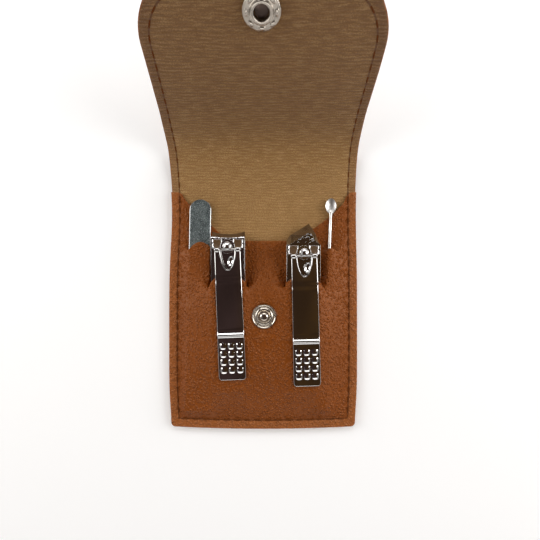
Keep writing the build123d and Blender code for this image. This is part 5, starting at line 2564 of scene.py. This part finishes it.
@dataclass
class Studio:
    """Plain pale floor, soft lights, a dark patch overhead, and the camera."""

    target: tuple[float, float, float] = (0.0, 0.02, 0.005)
    camera_place: tuple[float, float, float] = (2.6 * MM, 13.5 * MM, 148.0 * MM)
    lens: float = 25.67
    floor_size: float = 3.0
    walls: Colour = (0.72, 0.71, 0.7)
    left_ceiling: Colour = (0.1, 0.06, 0.055)
    right_ceiling: Colour = (0.13, 0.068, 0.024)
    deep_ceiling: Colour = (0.035, 0.02, 0.016)
    lights: tuple[SoftLight, ...] = (
        SoftLight("left_softbox", (-0.42, 0.12, 0.24), (0.26, 0.5), 1.5, (1.0, 0.99, 0.97)),
        SoftLight("right_softbox", (0.44, 0.08, 0.23), (0.24, 0.5), 1.8, (1.0, 0.99, 0.98)),
        SoftLight("back_softbox", (0.02, 0.44, 0.4), (0.5, 0.2), 1.25, (1.0, 1.0, 1.0)),
        SoftLight("front_softbox", (0.0, -0.46, 0.24), (0.6, 0.16), 0.5, (1.0, 0.98, 0.96)),
    )

    def build(self, wardrobe: Wardrobe) -> None:
        """Set up floor, lights, surroundings and camera.

        Args:
            wardrobe: the finishes.
        """
        Bench.clear_selection()
        bpy.ops.mesh.primitive_grid_add(x_subdivisions=8, y_subdivisions=8,
                                        size=self.floor_size, location=(0, 0, -0.05 * MM))
        floor = Bench.settle(Bench.named("studio_floor"))
        wardrobe.put_on(floor, Finishes.FLOOR)
        for light in self.lights:
            self.hang(light)
        self.surroundings()
        self.stand()
        bpy.context.scene.view_settings.view_transform = "Standard"

    def hang(self, light: SoftLight) -> None:
        """Hang one light, turned to the case.

        Args:
            light: its place, size, power and tint.
        """
        Bench.clear_selection()
        bpy.ops.object.light_add(type="AREA", location=light.place)
        lamp = bpy.context.view_layer.objects.active
        lamp.name = light.name
        lamp.data.shape = "RECTANGLE"
        lamp.data.size, lamp.data.size_y = light.size
        lamp.data.energy, lamp.data.color = light.power, light.tint
        aim = Vector(self.target) - Vector(light.place)
        lamp.rotation_euler = aim.to_track_quat("-Z", "Y").to_euler()

    def surroundings(self) -> None:
        """Pale walls all round with a dark ceiling, which the bright metal mirrors."""
        world = bpy.data.worlds.new("studio_walls")
        world.use_nodes = True
        bpy.context.scene.world = world
        w = Wiring(world.node_tree)
        ground = world.node_tree.nodes["Background"]
        heading = w.add("TexCoord").outputs["Generated"]
        parts = w.add("SeparateXYZ", {0: heading}).outputs
        ceiling = w.ramp(parts[2], 0.5, 0.74)
        drift = w.noise(heading, 5.0, 2.0, 0.5)
        dark = w.blend(w.ramp(parts[0], -0.09, 0.07), self.left_ceiling, self.right_ceiling)
        dark = w.blend(w.ramp(drift, 0.35, 0.65, 0.0, 0.55), dark, self.deep_ceiling)
        w.feed(ground.inputs["Color"], w.blend(ceiling, self.walls, dark))
        ground.inputs["Strength"].default_value = 0.55

    def stand(self) -> None:
        """Stand the camera where the photograph was taken from."""
        Bench.clear_selection()
        bpy.ops.object.camera_add(location=self.camera_place, rotation=(0, 0, 0))
        camera = bpy.context.view_layer.objects.active
        camera.name = "camera"
        camera.data.sensor_width, camera.data.lens = 36.0, self.lens
        camera.data.clip_start, camera.data.clip_end = 0.005, 10.0
        bpy.context.scene.camera = camera


def main() -> None:
    """Load the frame and build every sub-assembly in order."""
    logging.basicConfig(level=logging.INFO, format="%(name)s: %(message)s")
    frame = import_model()
    NODES.update(frame["nodes"])
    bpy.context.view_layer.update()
    wardrobe = Wardrobe()
    sizes = CaseSizes.from_frame()
    line = BendLine(sizes)
    body = CaseBody(sizes, line)
    made = body.build(wardrobe)
    made.append(PocketPanel(sizes).build(wardrobe))
    made += SeamStitches(sizes, line).build(wardrobe, body)
    made += SnapFastener(sizes).build(wardrobe)
    made.append(NailFile().build(wardrobe))
    made.append(EarPick().build(wardrobe))
    for kind, swing in ((ClipperKind.STRAIGHT, 2.1), (ClipperKind.SLANTED, 1.6)):
        made += NailClipper(kind, swing).build(wardrobe)
    Studio().build(wardrobe)
    for obj in made:
        LOG.info("%s: %d faces", obj.name, len(obj.data.polygons))


if __name__ == "__main__":
    main()
